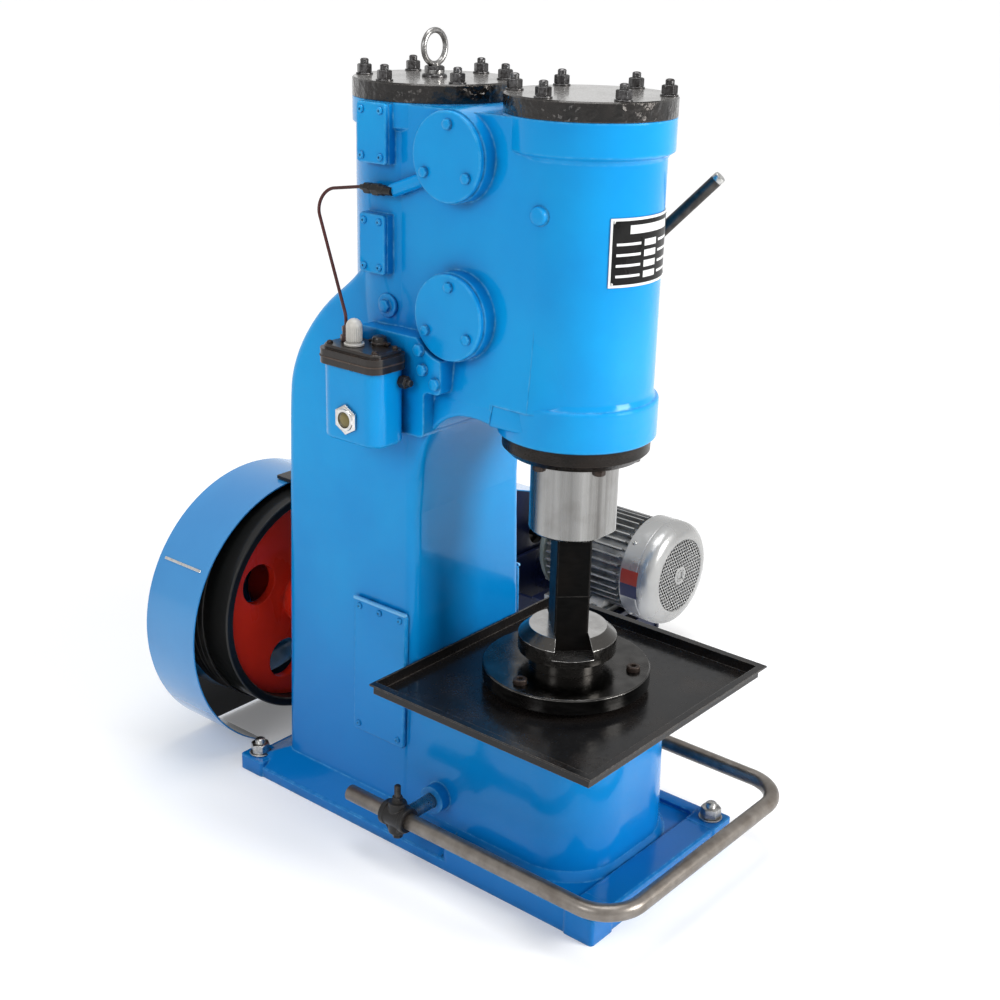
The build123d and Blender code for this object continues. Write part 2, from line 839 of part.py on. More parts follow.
# Motor barrel with a pattern of thin cooling fins and two cast feet
def make_motor():
    y0 = motor_fan_y + fan_long + seat
    y1 = motor_end_y - shield_long - seat
    body = cyl_y(motor_core_r, y0, y1, motor_x, motor_z)
    fin = block(-fin_thick / 2, fin_thick / 2, y0 + 14, y1 - 6, motor_core_r - 2, motor_core_r + fin_high)
    for k in range(fin_count):
        a = 360.0 * (k + 0.5) / fin_count
        body = body + Pos(motor_x, 0, motor_z) * Rot(0, a, 0) * fin
    base = motor_z - foot_high
    low = base + foot_thick
    for at in (y0 + 48, y1 - 56):
        sole = block(motor_x - foot_out, motor_x + foot_out, at, at + foot_wide, base, low)
        cheek = [(motor_x - foot_out + 6, low - 1), (motor_x + foot_out - 6, low - 1),
                 (motor_x + 62, motor_z - 60), (motor_x - 62, motor_z - 60)]
        body = body + sole + prism_y(cheek, at + 8, at + foot_wide - 8)
    top = motor_z + motor_core_r + fin_high
    neck = block(motor_x - box_x / 2, motor_x + box_x / 2, y1 - box_y - 12, y1 - 12,
                 motor_z + motor_core_r - 6, top + 2 - seat)
    return body + neck


def make_terminal_box():
    y1 = motor_end_y - shield_long - seat - 6
    z0 = motor_z + motor_core_r + fin_high + 2
    x = box_x / 2 + 8
    body = slab(motor_x - x, motor_x + x, y1 - box_y - 12, y1, z0, z0 + box_high, 6)
    return chamfer(body.edges().group_by(Axis.Z)[-1], 4)


def make_end_shield():
    y0 = motor_end_y - shield_long
    r = motor_core_r + fin_high
    end = shield_long
    profile = [(0, 0), (r, 0), (r, 8), (r - 8, 16), (62, end - 8), (58, end), (0, end)]
    body = Pos(motor_x, y0, motor_z) * Rot(-90, 0, 0) * turned(profile)
    return body - cyl_y(motor_shaft_r + 1, y0 - 5, motor_end_y + 5, motor_x, motor_z)


def make_fan_cover():
    r = motor_r
    n = fan_long
    profile = [(0, 0), (r - 14, 0), (r - 6, 3), (r - 1, 10), (r, 18), (r, n), (0, n)]
    hollow = [(0, 4), (r - 16, 4), (r - 4, 20), (r - 4, n + 1), (0, n + 1)]
    shell = turned(profile) - turned(hollow)
    back = turned([(0, n - 22), (r - 4, n - 22), (r - 4, n), (0, n)])
    return Pos(motor_x, motor_fan_y, motor_z) * Rot(-90, 0, 0) * (shell + back)


def make_pulley():
    y0 = belt_front - 6
    y1 = belt_back + 6
    body = cyl_y(pulley_r, y0, y1, motor_x, motor_z)
    return body + cyl_y(motor_shaft_r, motor_end_y - shield_long, y0 + 1, motor_x, motor_z)


# Low welded stand under the motor, tied to the foot, with a post that carries the guard's end
def make_stand():
    x0 = motor_x - foot_out - 6
    x1 = motor_x + foot_out + 6
    y0 = motor_fan_y + fan_long + 30
    y1 = motor_end_y - 6
    t = stand_wall
    body = block(x0, x1, y0, y1, stand_top - stand_plate, stand_top)
    for x in (x0 + 8, x1 - 8 - t):
        body = body + block(x, x + t, y0, y1, 0, stand_top - stand_plate + 1)
    for y in (y0 + 4, bed_rear - lug - tie_wide - 6):
        body = body + block(bed_half + seat, x1 - 8, y, y + tie_wide, 0, tie_high)
        body = body + block(bed_half + seat, x1 - 8, y, y + 5, 0, tie_wide)
    post_rear = guard_front - seat
    top = motor_z - guard_end_r + 46
    body = body + block(x0 + 8, x1 - 8, post_rear - post_thick, post_rear, 0, top)
    for x in (x0 + 8, x1 - 8 - t):
        body = body + block(x, x + t, y1 - 1, post_rear - 1, 0, stand_top - stand_plate)
    return body


def make_treadle():
    h = treadle_half
    f = -treadle_front
    b = treadle_bend
    with BuildPart() as bp:
        with BuildLine(Plane.XY.offset(treadle_z)):
            Line((-h, treadle_tip), (-h, f + b))
            RadiusArc((-h, f + b), (-h + b, f), -b)
            Line((-h + b, f), (h - b, f))
            RadiusArc((h - b, f), (h, f + b), -b)
            Line((h, f + b), (h, rod_tip))
        with BuildSketch(Plane(origin=(-h, treadle_tip, treadle_z), z_dir=(0, -1, 0))):
            Circle(tube_r)
        sweep()
    return bp.part


# Split clamps that grip the tube and are pinned on the ends of the cross shaft
def make_clamps():
    out = []
    y0 = pivot_y - clamp_wide / 2
    y1 = pivot_y + clamp_wide / 2
    x0 = -tube_r - 17
    body = block(x0, clamp_out, y0, y1, treadle_z - clamp_down, treadle_z + clamp_up)
    body = fillet(body.edges().filter_by(Axis.Y), 9)
    body = body - cyl_y(tube_r, y0 - 1, y1 + 1, 0, treadle_z)
    body = body - block(tube_r - 2, clamp_out + 1, y0 - 1, y1 + 1, treadle_z - 2, treadle_z + 2)
    body = body - cyl_x(pivot_r, x0 - 1, -tube_r - 2, pivot_y, pivot_z)
    right = Pos(treadle_half, 0, 0) * body
    out.append(right)
    out.append(mirror(right, about=Plane.YZ))
    return together(out)


def make_cross_shaft():
    end = treadle_half - tube_r - 2
    return cyl_x(pivot_r, -end, end, pivot_y, pivot_z)


def make_tank():
    x1 = -tank_in
    x0 = x1 - tank_deep
    y0 = tank_y - tank_wide / 2
    y1 = tank_y + tank_wide / 2
    body = slab(x0, x1, y0, y1, tank_low, tank_top, tank_round)
    return chamfer(body.edges().group_by(Axis.Z)[0], 4)


def make_tank_lid():
    x1 = -tank_in
    x0 = x1 - tank_deep - lid_over
    y0 = tank_y - tank_wide / 2 - lid_over
    y1 = tank_y + tank_wide / 2 + lid_over
    z0 = tank_top + seat
    body = slab(x0, x1, y0, y1, z0, lid_top - 6, lid_round)
    top = slab(x0 + 6, x1 - 4, y0 + 6, y1 - 6, lid_top - 8, lid_top, lid_round - 5)
    return body + chamfer(top.edges().group_by(Axis.Z)[-1], 1.5)


def make_filler_cap():
    x = -tank_in - tank_deep * 0.62
    y = tank_y + cap_back
    body = cyl_z(cap_r, lid_top + seat, lid_top + cap_high - cap_r, x, y)
    dome = Pos(x, y, lid_top + cap_high - cap_r) * Sphere(cap_r)
    foot = cyl_z(cap_r + 3, lid_top + seat, lid_top + 8, x, y)
    return body + dome + foot


def make_union():
    pts = oil_route()
    x = pts[-1].X
    y = pts[-1].Y
    z = pts[-1].Z
    body = cyl_z(union_r, lid_top + seat, z - 8, x, y)
    body = body + cyl_z(union_r - 2.5, z - 9, z, x, y)
    return body


def make_sight_glass():
    x = -tank_in - tank_deep - seat
    z = tank_top - glass_low
    ring = cyl_x(glass_r, x - glass_thick, x, tank_y, z)
    ring = chamfer(ring.edges().group_by(Axis.X)[0], 1.5)
    return ring - cyl_x(glass_r * 0.55, x - glass_thick - 1, x - glass_thick + 3, tank_y, z)


def make_name_plate():
    r = work_r + seat
    low = plate_low
    shell = cyl_z(r + plate_thick, low, low + plate_high) - cyl_z(r, low - 1, low + plate_high + 1)
    w = 2 * r * math.tan(math.radians(plate_half_angle))
    fan = make_face(Polyline((0, 0), (-w, -2 * r), (w, -2 * r), close=True))
    return shell & (Pos(0, 0, low) * extrude(fan, plate_high))


def make_access_covers():
    out = []
    y0 = access_y - access_wide / 2
    y1 = access_y + access_wide / 2
    z0 = access_low
    z1 = access_low + access_high
    lean = math.degrees(math.atan2(col_half_low - col_half_high, taper_z))
    plate = block(0, access_thick, y0, y1, 0, z1 - z0)
    plate = fillet(plate.edges().filter_by(Axis.X), 8)
    plate = chamfer(plate.edges().group_by(Axis.X)[-1], 2)
    x = col_half_low - z0 * (col_half_low - col_half_high) / taper_z + seat
    plate = Pos(x, 0, z0) * Rot(0, -lean, 0) * plate
    out.append(plate)
    out.append(mirror(plate, about=Plane.YZ))
    return together(out)


save(make_casting(), "body_casting")
save(make_cover(0, flange_r), "work_cover")
save(make_cover(cyl_pitch, comp_flange_r), "compressor_cover")
save(make_eye(), "eye_bolt")
save(make_gland(), "gland_ring")
save(make_ram(), "ram")
save(make_upper_die(), "upper_die")
save(make_lower_die(), "lower_die")
save(make_anvil(), "anvil_cap")
save(make_anvil_ring(), "anvil_ring")
save(make_tray(), "tray")
save(make_valve_covers(-1), "valve_covers_left")
save(make_valve_covers(1), "valve_covers_right")
save(make_port_covers(), "port_covers")
save(make_oil_fitting(), "oil_fitting")
save(make_oil_tube(), "oil_tube")
save(make_handle_boss(), "handle_boss")
save(make_handle(), "control_handle")
save(make_valve_lever(), "valve_lever")
save(make_link_rod(), "link_rod")
save(make_rod_pin(), "rod_pin")
save(make_crank_shaft(), "crank_shaft")
save(make_bearing_cap(), "bearing_cap")
save(make_wheel_rim(), "wheel_rim")
save(make_wheel_web(), "wheel_web")
save(make_guard(), "belt_guard")
save(make_guard_plate(), "guard_plate")
save(make_guard_bracket(), "guard_bracket")
save(make_belt(), "belt")
save(make_motor(), "motor_body")
save(make_terminal_box(), "terminal_box")
save(make_end_shield(), "motor_end_shield")
save(make_fan_cover(), "fan_cover")
save(make_pulley(), "motor_pulley")
save(make_stand(), "motor_stand")
save(make_treadle(), "treadle_bar")
save(make_clamps(), "treadle_clamps")
save(make_cross_shaft(), "cross_shaft")
save(make_tank(), "oil_tank")
save(make_tank_lid(), "oil_tank_lid")
save(make_filler_cap(), "filler_cap")
save(make_union(), "tube_union")
save(make_sight_glass(), "sight_glass")
save(make_name_plate(), "name_plate")
save(make_access_covers(), "access_covers")
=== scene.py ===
import bpy
import bmesh
import json
import math
from mathutils import Matrix, Vector
from mathutils.bvhtree import BVHTree


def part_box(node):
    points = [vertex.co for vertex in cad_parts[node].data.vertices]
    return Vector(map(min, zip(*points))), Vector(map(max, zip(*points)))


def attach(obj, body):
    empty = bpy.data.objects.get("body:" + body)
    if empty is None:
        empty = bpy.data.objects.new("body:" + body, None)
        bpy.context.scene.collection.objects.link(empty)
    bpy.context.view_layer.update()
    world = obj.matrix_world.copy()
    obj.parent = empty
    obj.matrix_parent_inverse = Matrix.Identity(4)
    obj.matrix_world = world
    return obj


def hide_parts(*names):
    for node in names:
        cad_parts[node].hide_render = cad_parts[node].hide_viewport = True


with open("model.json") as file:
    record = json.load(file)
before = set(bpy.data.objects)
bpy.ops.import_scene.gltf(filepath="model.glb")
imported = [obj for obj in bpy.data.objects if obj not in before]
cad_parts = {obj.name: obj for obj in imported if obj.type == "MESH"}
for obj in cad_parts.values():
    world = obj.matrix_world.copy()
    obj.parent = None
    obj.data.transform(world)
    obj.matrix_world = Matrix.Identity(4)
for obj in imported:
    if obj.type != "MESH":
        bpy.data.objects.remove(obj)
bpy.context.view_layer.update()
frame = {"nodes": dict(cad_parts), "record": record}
nodes = frame["nodes"]
print("hammer frame loaded:", len(nodes), "nodes")


# Camera, floor and lights

cameraView = {
    "place": (-1.70658, -1.25501, 1.38161),
    "turn": -50.759,
    "tilt": 68.681,
    "roll": 1.4656,
    "lens": 54.54,
    "shiftX": -0.0006,
    "shiftY": 0.0215,
}


def setCamera(values):
    data = bpy.data.cameras.new("viewCamera")
    data.lens = values["lens"]
    data.sensor_width = 36
    data.shift_x = values["shiftX"]
    data.shift_y = values["shiftY"]
    camera = bpy.data.objects.new("viewCamera", data)
    turn = Matrix.Rotation(math.radians(values["turn"]), 3, "Z")
    tilt = Matrix.Rotation(math.radians(values["tilt"]), 3, "X")
    roll = Matrix.Rotation(math.radians(values["roll"]), 3, "Z")
    camera.rotation_euler = (turn @ tilt @ roll).to_euler()
    camera.location = values["place"]
    bpy.context.scene.collection.objects.link(camera)
    bpy.context.scene.camera = camera


studioLights = {
    "front": {"place": (1.1, -3.5, 2.1), "aim": (0, 0.1, 0.6), "size": 1.5, "power": 146,
              "colour": (1, 0.99, 0.97)},
    "left": {"place": (-3.6, 0.2, 2.4), "aim": (0, 0.2, 0.5), "size": 1.2, "power": 34,
             "colour": (0.97, 0.98, 1)},
    "top": {"place": (0.1, 0.2, 3.8), "aim": (0, 0.1, 0), "size": 2.0, "power": 60,
            "colour": (1, 1, 1)},
}


def addLight(name, values):
    data = bpy.data.lights.new(name, "AREA")
    data.energy = values["power"]
    data.size = values["size"]
    data.color = values["colour"]
    light = bpy.data.objects.new(name, data)
    light.location = values["place"]
    way = Vector(values["aim"]) - Vector(values["place"])
    light.rotation_euler = way.to_track_quat("-Z", "Y").to_euler()
    bpy.context.scene.collection.objects.link(light)


# fill lights the machine, seen is the strength behind it and in its reflections
studioSky = {"fill": 0.70, "seen": 1.0}
studioFloor = {"reach": 60, "glow": 0.50, "nearGlow": 0.30, "from": 1.2, "to": 5.0}


def paintSky(values):
    world = bpy.data.worlds.new("paleStudio")
    bpy.context.scene.world = world
    world.use_nodes = True
    tree = world.node_tree
    tree.nodes.clear()
    out = node(tree, "ShaderNodeOutputWorld")
    mix = node(tree, "ShaderNodeMixShader")
    rays = node(tree, "ShaderNodeLightPath").outputs
    through = node(tree, "ShaderNodeMath", operation="ADD", use_clamp=True)
    feed(tree, through.inputs[0], sums(tree, "ADD", rays["Is Camera Ray"], rays["Is Glossy Ray"]))
    feed(tree, through.inputs[1], rays["Is Transmission Ray"])
    feed(tree, mix.inputs["Fac"], through.outputs[0])
    for socket, strength in ((1, values["fill"]), (2, values["seen"])):
        glow = node(tree, "ShaderNodeBackground")
        glow.inputs["Strength"].default_value = strength
        feed(tree, mix.inputs[socket], glow.outputs[0])
    feed(tree, out.inputs["Surface"], mix.outputs[0])


def layFloor(reach):
    mesh = bpy.data.meshes.new("paleFloor")
    corners = [(-reach, -reach, 0), (reach, -reach, 0), (reach, reach, 0), (-reach, reach, 0)]
    mesh.from_pydata(corners, [], [(0, 1, 2, 3)])
    floor = bpy.data.objects.new("paleFloor", mesh)
    bpy.context.scene.collection.objects.link(floor)
    return floor


# Node building

def node(tree, kind, **values):
    made = tree.nodes.new(kind)
    for key, value in values.items():
        setattr(made, key, value)
    return made


def feed(tree, socket, value):
    if isinstance(value, bpy.types.NodeSocket):
        tree.links.new(value, socket)
    else:
        socket.default_value = value


def newFinish(name):
    mat = bpy.data.materials.new(name)
    mat.use_nodes = True
    tree = mat.node_tree
    tree.nodes.clear()
    out = node(tree, "ShaderNodeOutputMaterial")
    shader = node(tree, "ShaderNodeBsdfPrincipled")
    tree.links.new(shader.outputs[0], out.inputs["Surface"])
    where = node(tree, "ShaderNodeTexCoord").outputs["Object"]
    return mat, tree, shader, where


def noiseOf(tree, where, scale, detail=3.0, stretch=(1, 1, 1)):
    place = node(tree, "ShaderNodeMapping")
    place.inputs["Scale"].default_value = stretch
    tree.links.new(where, place.inputs["Vector"])
    cloud = node(tree, "ShaderNodeTexNoise")
    cloud.inputs["Scale"].default_value = scale
    cloud.inputs["Detail"].default_value = detail
    tree.links.new(place.outputs[0], cloud.inputs["Vector"])
    return cloud.outputs["Fac"]


def spread(tree, value, low, high, toLow=0.0, toHigh=1.0):
    ranged = node(tree, "ShaderNodeMapRange")
    feed(tree, ranged.inputs["Value"], value)
    ranged.inputs["From Min"].default_value = low
    ranged.inputs["From Max"].default_value = high
    ranged.inputs["To Min"].default_value = toLow
    ranged.inputs["To Max"].default_value = toHigh
    return ranged.outputs[0]


def blendColour(tree, share, a, b):
    mixed = node(tree, "ShaderNodeMix", data_type="RGBA")
    feed(tree, mixed.inputs["Factor"], share)
    feed(tree, mixed.inputs[6], a if isinstance(a, bpy.types.NodeSocket) else (*a, 1))
    feed(tree, mixed.inputs[7], b if isinstance(b, bpy.types.NodeSocket) else (*b, 1))
    return mixed.outputs[2]


def sums(tree, way, a, b):
    done = node(tree, "ShaderNodeMath", operation=way)
    feed(tree, done.inputs[0], a)
    feed(tree, done.inputs[1], b)
    return done.outputs[0]


def times(tree, a, b):
    return sums(tree, "MULTIPLY", a, b)


def vectors(tree, way, a, b=None):
    done = node(tree, "ShaderNodeVectorMath", operation=way)
    feed(tree, done.inputs[0], a)
    if b is not None:
        feed(tree, done.inputs[1], b)
    return done


def partsOf(tree, vector):
    parts = node(tree, "ShaderNodeSeparateXYZ")
    feed(tree, parts.inputs[0], vector)
    return parts.outputs


def edgeNormal(tree, radius):
    bevel = node(tree, "ShaderNodeBevel", samples=6)
    bevel.inputs["Radius"].default_value = radius
    return bevel.outputs[0]


def edgeShare(tree, rounded, low, high):
    flat = node(tree, "ShaderNodeNewGeometry").outputs["Normal"]
    return spread(tree, vectors(tree, "DOT_PRODUCT", rounded, flat).outputs["Value"], high, low)


def cornerShade(tree, reach):
    shade = node(tree, "ShaderNodeAmbientOcclusion", samples=6)
    shade.inputs["Distance"].default_value = reach
    return shade.outputs["AO"]


def bump(tree, height, strength, distance, under=None):
    made = node(tree, "ShaderNodeBump")
    made.inputs["Strength"].default_value = strength
    made.inputs["Distance"].default_value = distance
    tree.links.new(height, made.inputs["Height"])
    if under is not None:
        tree.links.new(under, made.inputs["Normal"])
    return made.outputs[0]


def wearAndHighlightEdges(tree, body, chips, values):
    # lighter colour on thin edges, partly wear and partly painted highlight, broken up by the chips; also
    # gives the rounded normal
    rounded = edgeNormal(tree, values["round"])
    ridge = edgeShare(tree, rounded, 0.90, 0.995)
    wornAndLit = times(tree, times(tree, ridge, chips), values["wearAndGlint"])
    return rounded, blendColour(tree, wornAndLit, body, values["edge"])


def roughen(tree, shader, source, limits, dirtAndShade):
    rough = spread(tree, source, 0.3, 0.7, limits[0], limits[1])
    tree.links.new(sums(tree, "ADD", rough, dirtAndShade), shader.inputs["Roughness"])


# Paints: gloss enamel with orange peel, cast ripple, lighter thin edges (wear and painted highlight), grime
# with painted shade in corners, and on the machine blue painted shade low down and in the wide hollows

# noise scales, reach of the corner dirt and painted shade, and depths that all enamels share
paintGrain = {"broad": 5.0, "patch": 34.0, "chips": 90.0, "smear": 12.0, "ripple": 26.0, "peel": 420.0,
              "corner": 0.022, "rippleDeep": 0.0022, "peelDeep": 0.0003, "coatRough": 0.05, "ior": 1.3}
# the same for the bare metals; fine is a multiple of each metal's own scale
metalGrain = {"cloud": 16.0, "rub": 120.0, "oil": 55.0, "fine": 7, "corner": 0.016, "grooveDeep": 0.0003,
              "oilDeep": 0.0022, "coatRough": 0.08, "ior": 1.5}

enamels = {
    "machineBlue": {
        "body": (0.0015, 0.325, 0.72), "deep": (0.001, 0.265, 0.65), "grimeAndShade": (0.003, 0.055, 0.18),
        "edge": (0.14, 0.54, 0.88), "rough": (0.12, 0.24), "coat": 0.20, "round": 0.005, "peel": 0.10,
        "ripple": 0.34, "wearAndGlint": 0.62, "shadow": (0.001, 0.130, 0.45), "sheen": (0.45, 0.78, 1.0),
    },
    "guardBlue": {
        "body": (0.040, 0.27, 0.60), "deep": (0.030, 0.235, 0.55), "grimeAndShade": (0.02, 0.10, 0.22),
        "edge": (0.10, 0.40, 0.78), "rough": (0.14, 0.24), "coat": 0.7, "round": 0.0015, "peel": 0.08,
        # inside: near-black painted shade for the inner faces of the guard
        "ripple": 0.14, "wearAndGlint": 0.5, "inside": (0.006, 0.008, 0.012),
    },
    # lighter blue for the access cover lips: a painted highlight standing in for the glints on their top
    # edges
    "glintBlue": {
        "body": (0.16, 0.50, 0.82), "deep": (0.10, 0.42, 0.78), "grimeAndShade": (0.03, 0.20, 0.45),
        "edge": (0.45, 0.70, 0.90), "rough": (0.14, 0.26), "coat": 0.4, "round": 0.001, "peel": 0.08,
        "ripple": 0.3, "wearAndGlint": 0.6,
    },
    # near-black navy for blue-painted plates lying in deep shade: painted shade
    "navyShadeEnamel": {
        "body": (0.006, 0.012, 0.050), "deep": (0.004, 0.008, 0.034), "grimeAndShade": (0.004, 0.004, 0.006),
        "edge": (0.05, 0.06, 0.10), "rough": (0.25, 0.42), "coat": 0.3, "round": 0.002, "peel": 0.12,
        "ripple": 0.2, "wearAndGlint": 0.6,
    },
    "wheelRed": {
        "body": (0.78, 0.032, 0.012), "deep": (0.62, 0.022, 0.009), "grimeAndShade": (0.08, 0.006, 0.005),
        "edge": (0.55, 0.06, 0.04), "rough": (0.22, 0.38), "coat": 0.3, "round": 0.003, "peel": 0.14,
        "ripple": 0.4, "wearAndGlint": 0.4,
    },
    "wheelBlack": {
        "body": (0.010, 0.010, 0.010), "deep": (0.006, 0.007, 0.007), "grimeAndShade": (0.02, 0.016, 0.012),
        "edge": (0.06, 0.055, 0.05), "rough": (0.28, 0.45), "coat": 0.2, "round": 0.003, "peel": 0.14,
        "ripple": 0.3, "wearAndGlint": 0.6,
    },
    "motorSilver": {
        "body": (0.46, 0.46, 0.455), "deep": (0.30, 0.30, 0.295), "grimeAndShade": (0.06, 0.057, 0.052),
        "edge": (0.60, 0.60, 0.59), "rough": (0.20, 0.36), "coat": 0.25, "round": 0.0012, "peel": 0.15,
        "ripple": 0.8, "wearAndGlint": 0.5, "metal": 0.6,
    },
    "shieldGreen": {
        "body": (0.24, 0.27, 0.245), "deep": (0.19, 0.22, 0.20), "grimeAndShade": (0.05, 0.055, 0.05),
        "edge": (0.50, 0.52, 0.50), "rough": (0.28, 0.42), "coat": 0.15, "round": 0.0015, "peel": 0.14,
        "ripple": 0.25, "wearAndGlint": 0.6,
    },
    "blackIronPaint": {
        "body": (0.012, 0.011, 0.011), "deep": (0.007, 0.007, 0.007), "grimeAndShade": (0.03, 0.022, 0.016),
        "edge": (0.12, 0.11, 0.10), "rough": (0.30, 0.48), "coat": 0.15, "round": 0.0015, "peel": 0.2,
        "ripple": 0.3, "wearAndGlint": 0.7,
    },
    "lidBrown": {
        "body": (0.020, 0.014, 0.011), "deep": (0.011, 0.009, 0.008), "grimeAndShade": (0.004, 0.004, 0.004),
        "edge": (0.10, 0.055, 0.035), "rough": (0.22, 0.40), "coat": 0.35, "round": 0.002, "peel": 0.2,
        "ripple": 0.5, "wearAndGlint": 0.6,
    },
    "oilTubeRed": {
        "body": (0.10, 0.018, 0.014), "deep": (0.05, 0.012, 0.010), "grimeAndShade": (0.01, 0.006, 0.005),
        "edge": (0.20, 0.06, 0.05), "rough": (0.25, 0.4), "coat": 0.2, "round": 0.0008, "peel": 0.1,
        "ripple": 0.2, "wearAndGlint": 0.3,
    },
}


def shadeLowAndHollows(tree, where, body, shadow):
    # painted shade: a darker blue towards the foot and in the wide hollows of the casting
    low = spread(tree, partsOf(tree, where)["Z"], 0.02, 0.60, 0.85, 0.0)
    hollow = spread(tree, cornerShade(tree, 0.30), 0.20, 0.80, 0.95, 0.0)
    return blendColour(tree, sums(tree, "MAXIMUM", low, hollow), body, shadow)


guardLoop = {"x": 0.0, "z": 0.230, "band": 0.19}


def guardInsideShade(tree, where):
    # painted shade: the inner side of the guard turns near black where its faces look towards the wheel's
    # axis, and on forward faces beyond the band
    face = node(tree, "ShaderNodeTexCoord").outputs["Normal"]
    spot = vectors(tree, "SUBTRACT", where, (guardLoop["x"], 0, guardLoop["z"])).outputs[0]
    flat = vectors(tree, "MULTIPLY", spot, (1, 0, 1)).outputs[0]
    towards = spread(tree, vectors(tree, "DOT_PRODUCT", face, flat).outputs["Value"], -0.01, -0.03)
    forwards = times(tree, spread(tree, partsOf(tree, face)["Y"], -0.8, -0.95),
                     spread(tree, partsOf(tree, where)["Y"], 0.66, 0.68))
    reach = vectors(tree, "LENGTH", flat).outputs["Value"]
    band = spread(tree, reach, guardLoop["band"] - 0.01, guardLoop["band"])
    return sums(tree, "MAXIMUM", towards, times(tree, forwards, band))


def makeEnamel(name, values):
    mat, tree, shader, where = newFinish(name)
    grain = paintGrain
    broad = spread(tree, noiseOf(tree, where, grain["broad"], 4), 0.35, 0.65)
    body = blendColour(tree, broad, values["body"], values["deep"])
    if "shadow" in values:
        body = shadeLowAndHollows(tree, where, body, values["shadow"])
    # corner darkening from ambient occlusion, broken up by patches: grime mixed with painted shade
    corner = spread(tree, cornerShade(tree, grain["corner"]), 0.35, 0.85)
    patch = spread(tree, noiseOf(tree, where, grain["patch"], 5), 0.35, 0.75)
    dirtAndShade = times(tree, sums(tree, "SUBTRACT", 1.0, corner), patch)
    body = blendColour(tree, dirtAndShade, body, values["grimeAndShade"])
    chips = spread(tree, noiseOf(tree, where, grain["chips"], 6), 0.40, 0.70, 0.15, 1.0)
    rounded, body = wearAndHighlightEdges(tree, body, chips, values)
    # painted shade inside the guard
    if "inside" in values:
        body = blendColour(tree, guardInsideShade(tree, where), body, values["inside"])
    tree.links.new(body, shader.inputs["Base Color"])
    smear = noiseOf(tree, where, grain["smear"], 5, (1, 1, 0.35))
    roughen(tree, shader, smear, values["rough"], times(tree, dirtAndShade, 0.25))
    ripple = noiseOf(tree, where, grain["ripple"], 2)
    soft = bump(tree, ripple, values["ripple"], grain["rippleDeep"], rounded)
    peel = noiseOf(tree, where, grain["peel"], 2)
    tree.links.new(bump(tree, peel, values["peel"], grain["peelDeep"], soft), shader.inputs["Normal"])
    shader.inputs["Coat Weight"].default_value = values["coat"]
    shader.inputs["Coat Roughness"].default_value = grain["coatRough"]
    shader.inputs["IOR"].default_value = grain["ior"]
    shader.inputs["Specular Tint"].default_value = (*values.get("sheen", (1, 1, 1)), 1)
    shader.inputs["Metallic"].default_value = values.get("metal", 0.0)
    return mat
